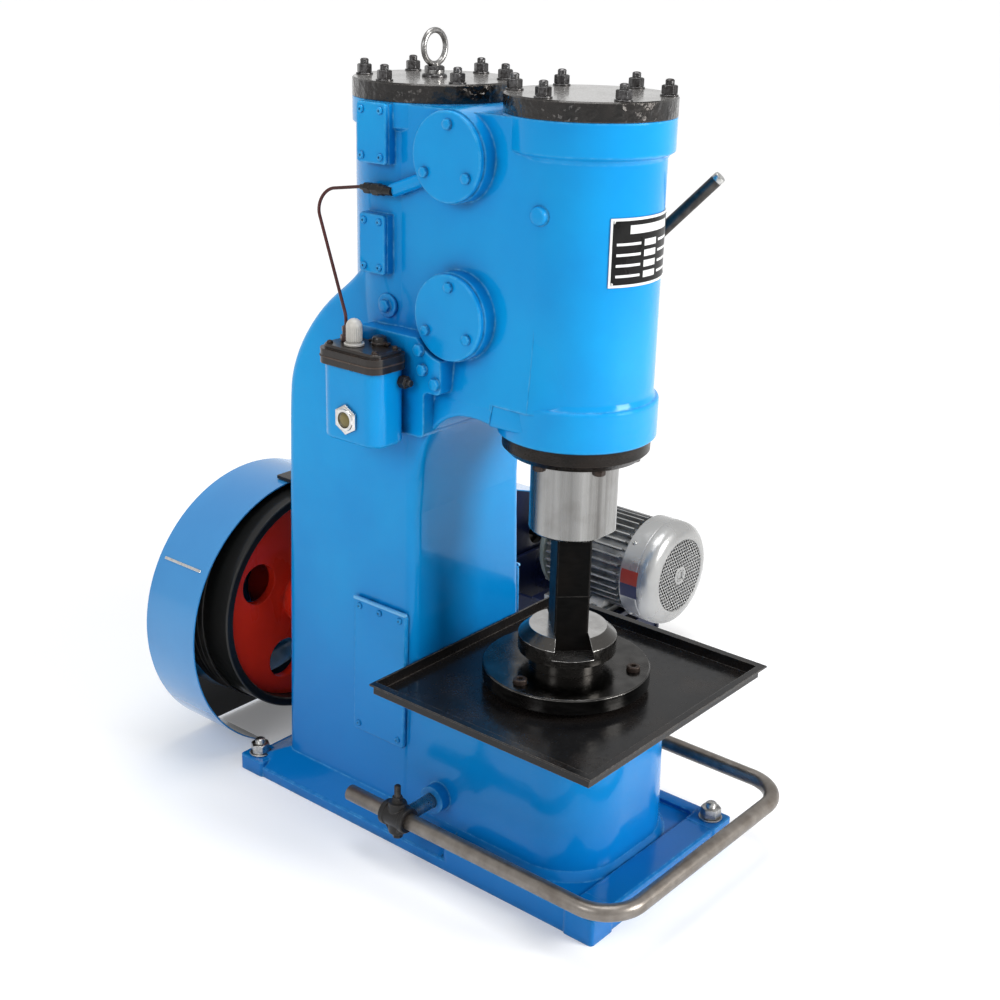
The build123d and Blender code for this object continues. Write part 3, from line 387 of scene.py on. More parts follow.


# Bare metals: streaks along one direction, stains together with painted shade in corners, bright rubbed
# edges, and on two of them painted light by facing (a lighter top as painted reflection, a darker side as
# painted shade)

metals = {
    "ramSteel": {
        "light": (0.36, 0.36, 0.355), "dark": (0.11, 0.108, 0.104), "stainAndShade": (0.07, 0.060, 0.050),
        "edge": (0.70, 0.70, 0.68), "rough": (0.20, 0.34), "metal": 1.0, "grain": (5, 5, 0.12),
        "scale": 7.0, "groove": 0.10, "round": 0.0012, "wearAndGlint": 0.7, "soil": 0.35,
    },
    "capSteel": {
        "light": (0.62, 0.615, 0.605), "dark": (0.42, 0.415, 0.405), "stainAndShade": (0.16, 0.14, 0.12),
        "edge": (0.85, 0.84, 0.82), "rough": (0.12, 0.26), "metal": 0.95, "grain": (3, 3, 3),
        "scale": 9.0, "groove": 0.10, "round": 0.0012, "wearAndGlint": 0.7, "soil": 0.25,
        # side: a darker colour for the anvil cap's sides, painted shade; turn is where the lighter top
        # begins
        "side": (0.080, 0.076, 0.071), "turn": 0.88,
    },
    "coverIron": {
        "light": (0.018, 0.015, 0.013), "dark": (0.006, 0.0055, 0.005), "stainAndShade": (0.006, 0.004, 0.003),
        "edge": (0.24, 0.22, 0.20), "rough": (0.10, 0.34), "metal": 0.7, "grain": (3, 3, 3),
        "scale": 16.0, "groove": 0.30, "round": 0.0016, "wearAndGlint": 0.6, "soil": 0.7, "oil": 0.9,
        # top: lighter colour on the machined up-facing faces, partly the metal's own and partly a painted
        # reflection of the bright surroundings
        "top": (0.36, 0.35, 0.335), "turn": 0.85, "coat": 0.45,
    },
    "glandIron": {
        "light": (0.018, 0.014, 0.012), "dark": (0.007, 0.006, 0.005), "stainAndShade": (0.010, 0.006, 0.004),
        "edge": (0.14, 0.11, 0.09), "rough": (0.18, 0.42), "metal": 0.3, "ior": 1.3, "grain": (3, 3, 10),
        "scale": 14.0, "groove": 0.25, "round": 0.0016, "wearAndGlint": 0.5, "soil": 0.8,
    },
    "eyeSteel": {
        "light": (0.34, 0.335, 0.33), "dark": (0.17, 0.165, 0.16), "stainAndShade": (0.06, 0.05, 0.042),
        "edge": (0.62, 0.61, 0.60), "rough": (0.20, 0.36), "metal": 1.0, "grain": (4, 4, 4),
        "scale": 40.0, "groove": 0.15, "round": 0.001, "wearAndGlint": 0.6, "soil": 0.4,
    },
    "ringIron": {
        "light": (0.075, 0.073, 0.070), "dark": (0.026, 0.025, 0.024), "stainAndShade": (0.014, 0.010, 0.008),
        "edge": (0.40, 0.39, 0.37), "rough": (0.10, 0.26), "metal": 1.0, "grain": (4, 4, 20),
        "scale": 10.0, "groove": 0.15, "round": 0.0016, "wearAndGlint": 0.6, "soil": 0.6,
    },
    "gripSteel": {
        "light": (0.085, 0.080, 0.076), "dark": (0.038, 0.036, 0.034), "stainAndShade": (0.03, 0.02, 0.014),
        "edge": (0.35, 0.34, 0.32), "rough": (0.26, 0.42), "metal": 0.9, "grain": (2, 2, 2),
        "scale": 26.0, "groove": 0.25, "round": 0.0008, "wearAndGlint": 0.7, "soil": 0.5,
    },
    "boltRust": {
        "light": (0.048, 0.033, 0.026), "dark": (0.020, 0.014, 0.012), "stainAndShade": (0.02, 0.010, 0.007),
        "edge": (0.26, 0.20, 0.16), "rough": (0.35, 0.6), "metal": 0.6, "grain": (4, 4, 4),
        "scale": 60.0, "groove": 0.3, "round": 0.0006, "wearAndGlint": 0.6, "soil": 0.6,
    },
    "dieBlack": {
        "light": (0.0040, 0.0039, 0.0038), "dark": (0.0018, 0.0018, 0.0018),
        "stainAndShade": (0.008, 0.006, 0.005), "edge": (0.10, 0.095, 0.09), "rough": (0.36, 0.52), "metal": 0.0,
        "grain": (2, 2, 6), "ior": 1.12, "scale": 30.0, "groove": 0.3, "round": 0.0012, "wearAndGlint": 0.8,
        "soil": 0.5,
    },
    "tubeSteel": {
        "light": (0.25, 0.228, 0.205), "dark": (0.165, 0.146, 0.128), "stainAndShade": (0.085, 0.062, 0.046),
        "edge": (0.45, 0.42, 0.39), "rough": (0.28, 0.44), "metal": 0.85, "grain": (3, 3, 3),
        "scale": 16.0, "groove": 0.2, "round": 0.001, "wearAndGlint": 0.5, "soil": 0.4,
    },
    "studSteel": {
        "light": (0.13, 0.128, 0.13), "dark": (0.040, 0.038, 0.038), "stainAndShade": (0.014, 0.010, 0.008),
        "edge": (0.40, 0.40, 0.40), "rough": (0.14, 0.34), "metal": 1.0, "grain": (4, 4, 4),
        "scale": 60.0, "groove": 0.2, "round": 0.0006, "wearAndGlint": 0.8, "soil": 0.6,
    },
    "zincSteel": {
        "light": (0.56, 0.56, 0.55), "dark": (0.36, 0.36, 0.35), "stainAndShade": (0.16, 0.13, 0.10),
        "edge": (0.80, 0.80, 0.78), "rough": (0.20, 0.38), "metal": 1.0, "grain": (4, 4, 4),
        "scale": 60.0, "groove": 0.15, "round": 0.0006, "wearAndGlint": 0.8, "soil": 0.4,
    },
    "chromeRing": {
        "light": (0.72, 0.72, 0.71), "dark": (0.55, 0.55, 0.54), "stainAndShade": (0.25, 0.22, 0.18),
        "edge": (0.90, 0.90, 0.88), "rough": (0.08, 0.20), "metal": 1.0, "grain": (4, 4, 4),
        "scale": 40.0, "groove": 0.08, "round": 0.0006, "wearAndGlint": 0.8, "soil": 0.2,
    },
    "trayBlack": {
        "light": (0.009, 0.009, 0.0095), "dark": (0.005, 0.005, 0.0055), "stainAndShade": (0.020, 0.015, 0.012),
        "edge": (0.20, 0.18, 0.16), "rough": (0.12, 0.28), "metal": 0.0, "grain": (2, 2, 2), "ior": 1.33,
        "scale": 11.0, "groove": 0.3, "round": 0.0012, "wearAndGlint": 0.9, "soil": 0.55,
    },
    "pulleyIron": {
        "light": (0.11, 0.105, 0.10), "dark": (0.05, 0.048, 0.045), "stainAndShade": (0.04, 0.025, 0.016),
        "edge": (0.35, 0.34, 0.33), "rough": (0.3, 0.5), "metal": 0.9, "grain": (3, 40, 3), "scale": 8.0,
        "groove": 0.2, "round": 0.001, "wearAndGlint": 0.7, "soil": 0.6,
    },
}


def upwards(tree):
    return partsOf(tree, node(tree, "ShaderNodeTexCoord").outputs["Normal"])["Z"]


def makeMetal(name, values):
    mat, tree, shader, where = newFinish(name)
    grain = metalGrain
    streak = spread(tree, noiseOf(tree, where, values["scale"], 5, values["grain"]), 0.32, 0.68)
    body = blendColour(tree, streak, values["dark"], values["light"])
    cloud = spread(tree, noiseOf(tree, where, grain["cloud"], 6), 0.48, 0.72)
    # stains from the cloud noise, together with painted shade in the corners
    corner = spread(tree, cornerShade(tree, grain["corner"]), 0.9, 0.4)
    soiledAndShaded = times(tree, sums(tree, "MAXIMUM", cloud, corner), values["soil"])
    body = blendColour(tree, soiledAndShaded, body, values["stainAndShade"])
    # painted light by facing: with a top colour, up-facing faces get it as a painted reflection; without
    # one, the faces that are not up-facing get the side colour as painted shade
    if "turn" in values:
        upper = spread(tree, upwards(tree), values["turn"], values["turn"] + 0.1)
        if "top" in values:
            reflectedTop = blendColour(tree, times(tree, soiledAndShaded, 0.6), values["top"], values["stainAndShade"])
            body = blendColour(tree, upper, body, reflectedTop)
        else:
            body = blendColour(tree, upper, values["side"], body)
    rub = spread(tree, noiseOf(tree, where, grain["rub"], 5), 0.35, 0.65, 0.3, 1.0)
    rounded, body = wearAndHighlightEdges(tree, body, rub, values)
    tree.links.new(body, shader.inputs["Base Color"])
    fine = noiseOf(tree, where, values["scale"] * grain["fine"], 4, values["grain"])
    roughen(tree, shader, fine, values["rough"], times(tree, soiledAndShaded, 0.15))
    relief = bump(tree, fine, values["groove"], grain["grooveDeep"], rounded)
    if "oil" in values:
        # drops on the upright faces only, so that the flat tops stay even
        drops = spread(tree, noiseOf(tree, where, grain["oil"], 2), 0.40, 0.70)
        drops = times(tree, drops, spread(tree, upwards(tree), 0.5, 0.9, 1.0, 0.03))
        relief = bump(tree, drops, values["oil"], grain["oilDeep"], relief)
        shader.inputs["Coat Weight"].default_value = values["coat"]
        shader.inputs["Coat Roughness"].default_value = grain["coatRough"]
    tree.links.new(relief, shader.inputs["Normal"])
    shader.inputs["Metallic"].default_value = values["metal"]
    shader.inputs["IOR"].default_value = values.get("ior", grain["ior"])
    return mat


def makeRubber(name):
    mat, tree, shader, where = newFinish(name)
    dust = spread(tree, noiseOf(tree, where, 40.0, 5), 0.45, 0.75)
    body = blendColour(tree, dust, (0.013, 0.013, 0.013), (0.045, 0.042, 0.038))
    tree.links.new(body, shader.inputs["Base Color"])
    tree.links.new(spread(tree, dust, 0, 1, 0.55, 0.8), shader.inputs["Roughness"])
    cloth = noiseOf(tree, where, 900.0, 2)
    tree.links.new(bump(tree, cloth, 0.3, 0.0002), shader.inputs["Normal"])
    return mat


def makeMoulded(name, light, dark, rough, gloss=0.5):
    mat, tree, shader, where = newFinish(name)
    tone = spread(tree, noiseOf(tree, where, 30.0, 4), 0.35, 0.65)
    body = blendColour(tree, tone, light, dark)
    # painted shade: darker in the corners
    corner = spread(tree, cornerShade(tree, 0.008), 0.95, 0.45, 0, 0.6)
    body = blendColour(tree, corner, body, tuple(c * 0.25 for c in dark))
    tree.links.new(body, shader.inputs["Base Color"])
    fine = noiseOf(tree, where, 700.0, 2)
    tree.links.new(spread(tree, tone, 0, 1, rough - 0.06, rough + 0.08), shader.inputs["Roughness"])
    tree.links.new(bump(tree, fine, 0.12, 0.0002, edgeNormal(tree, 0.0006)), shader.inputs["Normal"])
    shader.inputs["Specular IOR Level"].default_value = gloss
    return mat


def makeFloor(name, values):
    mat, tree, shader, where = newFinish(name)
    tone = spread(tree, noiseOf(tree, where, 1.2, 2), 0.3, 0.7)
    paint = blendColour(tree, tone, (0.90, 0.90, 0.90), (0.88, 0.88, 0.885))
    tree.links.new(paint, shader.inputs["Base Color"])
    shader.inputs["Roughness"].default_value = 0.7
    shader.inputs["Specular IOR Level"].default_value = 0.1
    rays = node(tree, "ShaderNodeLightPath").outputs
    seen = sums(tree, "ADD", rays["Is Camera Ray"], rays["Is Glossy Ray"])
    seen = sums(tree, "ADD", seen, rays["Is Transmission Ray"])
    away = vectors(tree, "LENGTH", where).outputs["Value"]
    share = spread(tree, away, values["from"], values["to"], values["nearGlow"], 1.0)
    seen = times(tree, seen, share)
    shader.inputs["Emission Color"].default_value = (1, 1, 1, 1)
    tree.links.new(times(tree, seen, values["glow"]), shader.inputs["Emission Strength"])
    return mat


# Plain surfaces: light and dark tone, roughness and, for a dull one, its gloss

mouldings = {
    "capGrey": ((0.58, 0.56, 0.52), (0.47, 0.45, 0.41), 0.22),
    "plateBlack": ((0.006, 0.006, 0.006), (0.010, 0.010, 0.010), 0.3, 0.12),
    "plateWhite": ((0.75, 0.76, 0.76), (0.66, 0.67, 0.67), 0.35),
    "labelRed": ((0.36, 0.045, 0.030), (0.28, 0.035, 0.025), 0.35),
    "labelNavy": ((0.03, 0.035, 0.10), (0.02, 0.025, 0.08), 0.35),
    "glassOlive": ((0.20, 0.155, 0.035), (0.10, 0.080, 0.02), 0.08),
    "gasketBrown": ((0.060, 0.034, 0.020), (0.035, 0.020, 0.013), 0.45),
    "fanGrey": ((0.075, 0.075, 0.074), (0.05, 0.05, 0.049), 0.5),
    "unionBrown": ((0.055, 0.016, 0.012), (0.025, 0.010, 0.008), 0.35),
}

finishes = {}
for finishName, finishValues in enamels.items():
    finishes[finishName] = makeEnamel(finishName, finishValues)
for finishName, finishValues in metals.items():
    finishes[finishName] = makeMetal(finishName, finishValues)
finishes["beltRubber"] = makeRubber("beltRubber")
for finishName, finishValues in mouldings.items():
    finishes[finishName] = makeMoulded(finishName, *finishValues)
print("finishes made:", len(finishes))

slotFinish = {
    "blue_paint": "machineBlue",
    "guard_paint": "guardBlue",
    "dark_steel": "coverIron",
    "bright_steel": "ramSteel",
    "die_steel": "dieBlack",
    "black_sheet": "trayBlack",
    "navy_paint": "navyShadeEnamel",
    "wheel_black": "wheelBlack",
    "wheel_red": "wheelRed",
    "belt_rubber": "beltRubber",
    "motor_grey": "motorSilver",
    "shield_grey": "shieldGreen",
    "pulley_iron": "pulleyIron",
    "bare_tube": "tubeSteel",
    "black_iron": "blackIronPaint",
    "oil_tube_red": "oilTubeRed",
    "tank_paint": "machineBlue",
    "lid_brown": "lidBrown",
    "cap_grey": "capGrey",
    "glass_chrome": "chromeRing",
    "plate_black": "plateBlack",
}
ownFinish = {"anvil_cap": "capSteel", "anvil_ring": "ringIron", "control_handle": "gripSteel",
             "gland_ring": "glandIron", "eye_bolt": "eyeSteel"}

for part in frame["record"]["subparts"]:
    finishName = ownFinish.get(part["node"], slotFinish[part["material_slot"]])
    cadMesh = nodes[part["node"]].data
    cadMesh.materials.clear()
    cadMesh.materials.append(finishes[finishName])


# Mesh building

stepCount = 36


def facing(place, way):
    return Matrix.Translation(Vector(place)) @ Vector(way).to_track_quat("Z", "Y").to_matrix().to_4x4()


def roundRing(radius, height, steps=stepCount):
    ring = []
    for k in range(steps):
        angle = 2 * math.pi * k / steps
        ring.append(Vector((radius * math.cos(angle), radius * math.sin(angle), height)))
    return ring


def hexRing(flats, height, capRadius=None, lean=0, steps=stepCount):
    ring = []
    for k in range(steps):
        angle = 2 * math.pi * k / steps
        radius = flats / 2 / math.cos(angle % (math.pi / 3) - math.pi / 6)
        drop = max(0, radius - capRadius) * 0.58 if capRadius else 0
        ring.append(Vector((radius * math.cos(angle), radius * math.sin(angle), height + lean * drop)))
    return ring


def raised(place, height):
    return place @ Matrix.Translation((0, 0, height))


def joinLoops(bm, loops, capLow=True, capHigh=True):
    for first, second in zip(loops, loops[1:]):
        count = len(first)
        for k in range(count):
            after = (k + 1) % count
            bm.faces.new((first[k], first[after], second[after], second[k]))
    if capLow:
        bm.faces.new(list(reversed(loops[0])))
    if capHigh:
        bm.faces.new(loops[-1])


def addSkin(bm, rings, place, capLow=True, capHigh=True):
    loops = [[bm.verts.new(place @ point) for point in ring] for ring in rings]
    joinLoops(bm, loops, capLow, capHigh)


def addTurned(bm, profile, place, steps=stepCount):
    addSkin(bm, [roundRing(radius, height, steps) for radius, height in profile], place)


def addBlock(bm, low, high, place=Matrix.Identity(4), cut=0.001):
    made = bmesh.ops.create_cube(bm, size=1)
    size = Vector(high) - Vector(low)
    middle = (Vector(high) + Vector(low)) / 2
    shape = place @ Matrix.Translation(middle) @ Matrix.Diagonal((*size, 1))
    bmesh.ops.transform(bm, matrix=shape, verts=made["verts"])
    edges = set(edge for vert in made["verts"] for edge in vert.link_edges)
    bmesh.ops.bevel(bm, geom=list(edges), offset=cut, segments=2, affect="EDGES")


def addHexNut(bm, place, flats, high):
    cap = flats * 0.475
    rings = [roundRing(cap, 0), hexRing(flats, 0, cap, 1),
             hexRing(flats, high, cap, -1), roundRing(cap, high)]
    addSkin(bm, rings, place)


def addThread(bm, place, radius, low, high, pitch):
    rings = [roundRing(radius * 0.86, low, 24)]
    turns = max(2, int((high - low - pitch) / pitch))
    for k in range(turns):
        start = low + k * pitch
        rings.append(roundRing(radius * 0.88, start + pitch * 0.2, 24))
        rings.append(roundRing(radius, start + pitch * 0.6, 24))
    rings.append(roundRing(radius * 0.88, high - pitch * 0.9, 24))
    rings.append(roundRing(radius * 0.74, high - pitch * 0.35, 24))
    rings.append(roundRing(radius * 0.40, high, 24))
    addSkin(bm, rings, place)


def addWasher(bm, place, radius, thick):
    edge = thick * 0.2
    profile = [(radius - edge, 0), (radius, edge), (radius, thick - edge), (radius - edge, thick)]
    addTurned(bm, profile, place)


def addHexBolt(bm, place, flats, high):
    collar = high * 0.22
    addWasher(bm, place, flats / 2 * 1.15, collar)
    addHexNut(bm, raised(place, collar), flats, high * 0.78)


def addSocketScrew(bm, place, radius, high):
    edge = radius * 0.12
    socket = radius * 0.95
    rings = [roundRing(radius, 0), roundRing(radius, high - edge), roundRing(radius - edge, high),
             hexRing(socket, high), hexRing(socket * 0.92, high * 0.35)]
    addSkin(bm, rings, place)


def addPanScrew(bm, place, radius, high):
    rings = [roundRing(radius, 0), roundRing(radius * 0.96, high * 0.45),
             roundRing(radius * 0.72, high * 0.88), roundRing(radius * 0.48, high),
             hexRing(radius * 0.62, high * 0.97), hexRing(radius * 0.5, high * 0.45)]
    addSkin(bm, rings, place)


def finishPiece(bm, name, body, finishName, sharp=35):
    bmesh.ops.recalc_face_normals(bm, faces=bm.faces)
    mesh = bpy.data.meshes.new(name)
    bm.to_mesh(mesh)
    bm.free()
    mesh.shade_smooth()
    mesh.set_sharp_from_angle(angle=math.radians(sharp))
    mesh.materials.append(finishes[finishName])
    piece = bpy.data.objects.new(name, mesh)
    bpy.context.scene.collection.objects.link(piece)
    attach(piece, body)
    return piece


def circleSpots(centre, radius, angles, normal="z"):
    spots = []
    for angle in angles:
        across = radius * math.cos(math.radians(angle))
        along = radius * math.sin(math.radians(angle))
        if normal == "z":
            spots.append(Vector(centre) + Vector((across, along, 0)))
        elif normal == "x":
            spots.append(Vector(centre) + Vector((0, across, along)))
        else:
            spots.append(Vector(centre) + Vector((across, 0, along)))
    return spots


def addBoltCircle(bm, centre, angles, normal, way, values):
    for spot in circleSpots(centre, values["ring"], angles, normal):
        addHexBolt(bm, facing(spot, way), values["flats"], values["head"])


def insetCorners(low, high, inset):
    # the four corners of a rectangle, moved inwards; low and high are its two opposite corners
    return [(a, b) for a in (low[0] + inset, high[0] - inset) for b in (low[1] + inset, high[1] - inset)]


def evenAngles(count, start=0):
    return [360 * (k + start) / count for k in range(count)]


def sinkVerts(grown, centre, depth, axis):
    # moves the newly extruded verts towards an axis through the centre, so a sheet gets its thickness
    for vert in [item for item in grown["geom"] if isinstance(item, bmesh.types.BMVert)]:
        inward = vert.co - Vector(centre)
        inward[axis] = 0
        vert.co = vert.co - inward.normalized() * depth


def paintFrom(bm, start, index):
    bm.faces.ensure_lookup_table()
    for face in bm.faces[start:]:
        face.material_index = index


def boxMiddle(name):
    low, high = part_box(name)
    return (low + high) / 2


# Cover studs and nuts

coverStuds = {"ring": 0.105, "angles": range(0, 360, 60), "flats": 0.0190, "nut": 0.0125, "stud": 0.0066,
              "out": 0.0080, "washer": 0.0125, "washerThick": 0.0022, "pitch": 0.00175}


def makeCoverStuds(cover, name, values):
    bm = bmesh.new()
    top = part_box(cover)[1].z
    middle = boxMiddle(cover)
    for spot in circleSpots((middle.x, middle.y, top), values["ring"], values["angles"]):
        place = facing(spot, (0, 0, 1))
        addWasher(bm, place, values["washer"], values["washerThick"])
        seat = raised(place, values["washerThick"])
        nut = values["nut"]
        addHexNut(bm, seat, values["flats"], nut)
        addThread(bm, seat, values["stud"], nut - 0.001, nut + values["out"], values["pitch"])
    finishPiece(bm, name, "frame", "studSteel")


makeCoverStuds("work_cover", "workCoverStuds", coverStuds)
makeCoverStuds("compressor_cover", "compressorCoverStuds", coverStuds)
print("cover studs in place")


# Gland ring and anvil ring bolts

glandBolts = {"ring": 0.086, "angles": range(0, 360, 60), "flats": 0.017, "head": 0.010}


def makeGlandBolts(values):
    bm = bmesh.new()
    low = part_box("gland_ring")[0]
    middle = boxMiddle("gland_ring")
    addBoltCircle(bm, (middle.x, middle.y, low.z), values["angles"], "z", (0, 0, -1), values)
    finishPiece(bm, "glandBolts", "frame", "boltRust")


ringBolts = {"ring": 0.105, "turn": -4, "radius": 0.0104, "head": 0.0165, "deep": 0.009}


def makeRingBolts(values):
    bm = bmesh.new()
    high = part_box("anvil_ring")[1]
    angles = [180 + values["turn"] + 120 * k for k in range(3)]
    for spot in circleSpots((0, 0, high.z - values["deep"]), values["ring"], angles):
        addSocketScrew(bm, facing(spot, (0, 0, 1)), values["radius"], values["head"])
    finishPiece(bm, "anvilRingScrews", "frame", "boltRust")


makeGlandBolts(glandBolts)
makeRingBolts(ringBolts)


# Bolts on the valve covers, port covers, access covers, bearing cap and tank pad

valveBolts = {"ring": 0.045, "angles": (95, -31, -148), "flats": 0.013, "head": 0.006}
portScrews = {"inset": 0.010, "radius": 0.0055, "head": 0.004}
# the access covers lean with the side of the column: run over rise, then their folded upper lip
accessScrews = {"inset": 0.013, "radius": 0.0055, "head": 0.004, "run": 0.016, "rise": 0.64,
                "lipDown": 0.0035, "lipUp": 0.0015, "lipIn": 0.004, "lipOut": 0.0022}
capBolts = {"ring": 0.058, "count": 6, "flats": 0.013, "head": 0.007}


def islandBoxes(name):
    bm = bmesh.new()
    bm.from_mesh(nodes[name].data)
    bmesh.ops.remove_doubles(bm, verts=bm.verts, dist=0.00005)
    left = set(bm.verts)
    boxes = []
    while left:
        queue = [left.pop()]
        group = list(queue)
        while queue:
            vert = queue.pop()
            for edge in vert.link_edges:
                other = edge.other_vert(vert)
                if other in left:
                    left.remove(other)
                    queue.append(other)
                    group.append(other)
        low = Vector([min(v.co[i] for v in group) for i in range(3)])
        high = Vector([max(v.co[i] for v in group) for i in range(3)])
        boxes.append((low, high))
    bm.free()
    return sorted(boxes, key=lambda box: box[0].z)


def makeValveBolts(name, side, values):
    bm = bmesh.new()
    for low, high in islandBoxes(name):
        middle = (low + high) / 2
        x = high.x if side > 0 else low.x
        addBoltCircle(bm, (x, middle.y, middle.z), values["angles"], "x", (side, 0, 0), values)
    finishPiece(bm, name + "_bolts", "frame", "machineBlue")


def makePortScrews(values):
    bm = bmesh.new()
    for low, high in islandBoxes("port_covers"):
        for y, z in insetCorners(low.yz, high.yz, values["inset"]):
            addPanScrew(bm, facing((low.x, y, z), (-1, 0, 0)), values["radius"], values["head"])
    finishPiece(bm, "portCoverScrews", "frame", "machineBlue")


def makeAccessScrews(values):
    bm = bmesh.new()
    lips = bmesh.new()
    for low, high in islandBoxes("access_covers"):
        side = 1 if high.x > 0 else -1
        lean = values["run"] / values["rise"]
        outerLow = high.x if side > 0 else low.x
        inset = values["inset"]
        spots = insetCorners(low.yz, high.yz, inset) + [((low.y + high.y) / 2, high.z - inset)]
        for y, z in spots:
            x = outerLow - side * lean * (z - low.z) - side * 0.0003
            addPanScrew(bm, facing((x, y, z), (side, 0, lean)), values["radius"], values["head"])
        x = outerLow - side * lean * (high.z - low.z)
        lip = facing((x, (low.y + high.y) / 2, high.z), (side, 0, lean))
        along = lip.to_3x3().inverted() @ Vector((0, 1, 0))
        lip = lip @ Matrix.Rotation(math.atan2(along.y, along.x), 4, "Z")
        half = (high.y - low.y) / 2
        up = 1 if (lip.to_3x3() @ Vector((0, 1, 0))).z > 0 else -1
        edges = sorted((up * -values["lipDown"], up * values["lipUp"]))
        addBlock(lips, (-half, edges[0], -values["lipIn"]), (half, edges[1], values["lipOut"]), lip)
    finishPiece(bm, "accessCoverScrews", "frame", "machineBlue")
    finishPiece(lips, "accessCoverLips", "frame", "glintBlue")


def makeCapBolts(values):
    bm = bmesh.new()
    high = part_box("bearing_cap")[1]
    middle = boxMiddle("bearing_cap")
    addBoltCircle(bm, (middle.x, high.y, middle.z), evenAngles(values["count"]), "y", (0, 1, 0), values)
    finishPiece(bm, "bearingCapBolts", "frame", "machineBlue")


makeValveBolts("valve_covers_left", -1, valveBolts)
makeValveBolts("valve_covers_right", 1, valveBolts)
makePortScrews(portScrews)
makeAccessScrews(accessScrews)
makeCapBolts(capBolts)
print("cover bolts in place")


# Anchor studs at three corners of the foot; the front left hole stays open, as in the photo

anchorStuds = {"x": 0.165, "front": -0.183, "rear": 0.534, "seatFront": 0.044, "seatRear": 0.028,
               "flats": 0.029, "nut": 0.017, "washer": 0.019, "washerThick": 0.003, "stud": 0.009,
               "out": 0.012, "pitch": 0.002}


def makeAnchorStuds(values):
    bm = bmesh.new()
    x = values["x"]
    nut = values["nut"]
    for spot in ((x, values["front"], values["seatFront"]), (-x, values["rear"], values["seatRear"]),
                 (x, values["rear"], values["seatRear"])):
        place = facing(spot, (0, 0, 1))
        addWasher(bm, place, values["washer"], values["washerThick"])
        addHexNut(bm, raised(place, values["washerThick"]), values["flats"], nut)
        addThread(bm, place, values["stud"], nut, nut + values["out"], values["pitch"])
    finishPiece(bm, "anchorStuds", "frame", "zincSteel")


makeAnchorStuds(anchorStuds)


# Name plate: a bent sheet with a pale border, blank fields and four rivets

namePlate = {"columns": 84, "rows": 104, "border": 0.0038, "margin": 0.0035, "heading": 0.021, "lines": 4,
             "rivet": 0.0022, "rivetIn": 0.005, "rivetTurn": 0.045, "thick": 0.0010}


def plateCellIsPale(across, up, wide, high, values):
    edge = min(across, up, wide - across, high - up)
    if edge < values["border"]:
        return True
    inner = values["border"] + values["margin"]
    top = high - inner
    share = across / wide
    if top - values["heading"] * 0.66 < up < top - values["heading"] * 0.10 and 0.22 < share < 0.86:
        return True
    room = top - values["heading"] - inner
    rowHigh = room / values["lines"]
    row = (up - inner) / rowHigh
    if 0 < row < values["lines"]:
        within = row % 1
        if 0.24 < within < 0.84 and 0.40 < share < 0.60:
            return True
        if 0.42 < within < 0.66 and (0.07 < share < 0.36 or 0.64 < share < 0.90):
            return True
    return False


def makeNamePlate(values):
    low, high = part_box("name_plate")
    radius = -low.y
    half = math.asin(min(1, high.x / radius))
    wide = 2 * half * radius
    tall = high.z - low.z
    bm = bmesh.new()
    grid = []
    for j in range(values["rows"] + 1):
        line = []
        for i in range(values["columns"] + 1):
            angle = -math.pi / 2 - half + 2 * half * i / values["columns"]
            up = low.z + tall * j / values["rows"]
            line.append(bm.verts.new((radius * math.cos(angle), radius * math.sin(angle), up)))
        grid.append(line)
    for j in range(values["rows"]):
        for i in range(values["columns"]):
            face = bm.faces.new((grid[j][i], grid[j][i + 1], grid[j + 1][i + 1], grid[j + 1][i]))
            across = wide * (i + 0.5) / values["columns"]
            up = tall * (j + 0.5) / values["rows"]
            face.material_index = 1 if plateCellIsPale(across, up, wide, tall, values) else 0
    rim = [edge for edge in bm.edges if edge.is_boundary]
    grown = bmesh.ops.extrude_edge_only(bm, edges=rim)
    sinkVerts(grown, (0, 0, 0), values["thick"], 2)
    rivet = values["rivet"]
    for side in (-1, 1):
        for z in (low.z + values["rivetIn"], high.z - values["rivetIn"]):
            angle = -math.pi / 2 + side * (half - values["rivetTurn"])
            way = Vector((math.cos(angle), math.sin(angle), 0))
            spot = way * (radius - 0.0004)
            place = facing((spot.x, spot.y, z), way)
            start = len(bm.faces)
            addTurned(bm, [(rivet, 0), (rivet * 0.8, 0.0009), (rivet * 0.3, 0.0013)], place, 16)
            paintFrom(bm, start, 2)
    piece = finishPiece(bm, "namePlateSheet", "frame", "plateBlack")
    piece.data.materials.append(finishes["plateWhite"])
    piece.data.materials.append(finishes["zincSteel"])
    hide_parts("name_plate")


makeNamePlate(namePlate)
print("name plate in place")


# Motor: fan cover with a honeycomb grille, screws, blank rating plate, cable gland

fanCover = {"hole": 0.0031, "web": 0.0019, "grille": 0.075, "boss": 0.016, "thick": 0.0016, "face": 0.0012,
            "blades": 8, "screw": 0.0045, "screwHead": 0.003, "angles": (45, 135, 225, 315)}


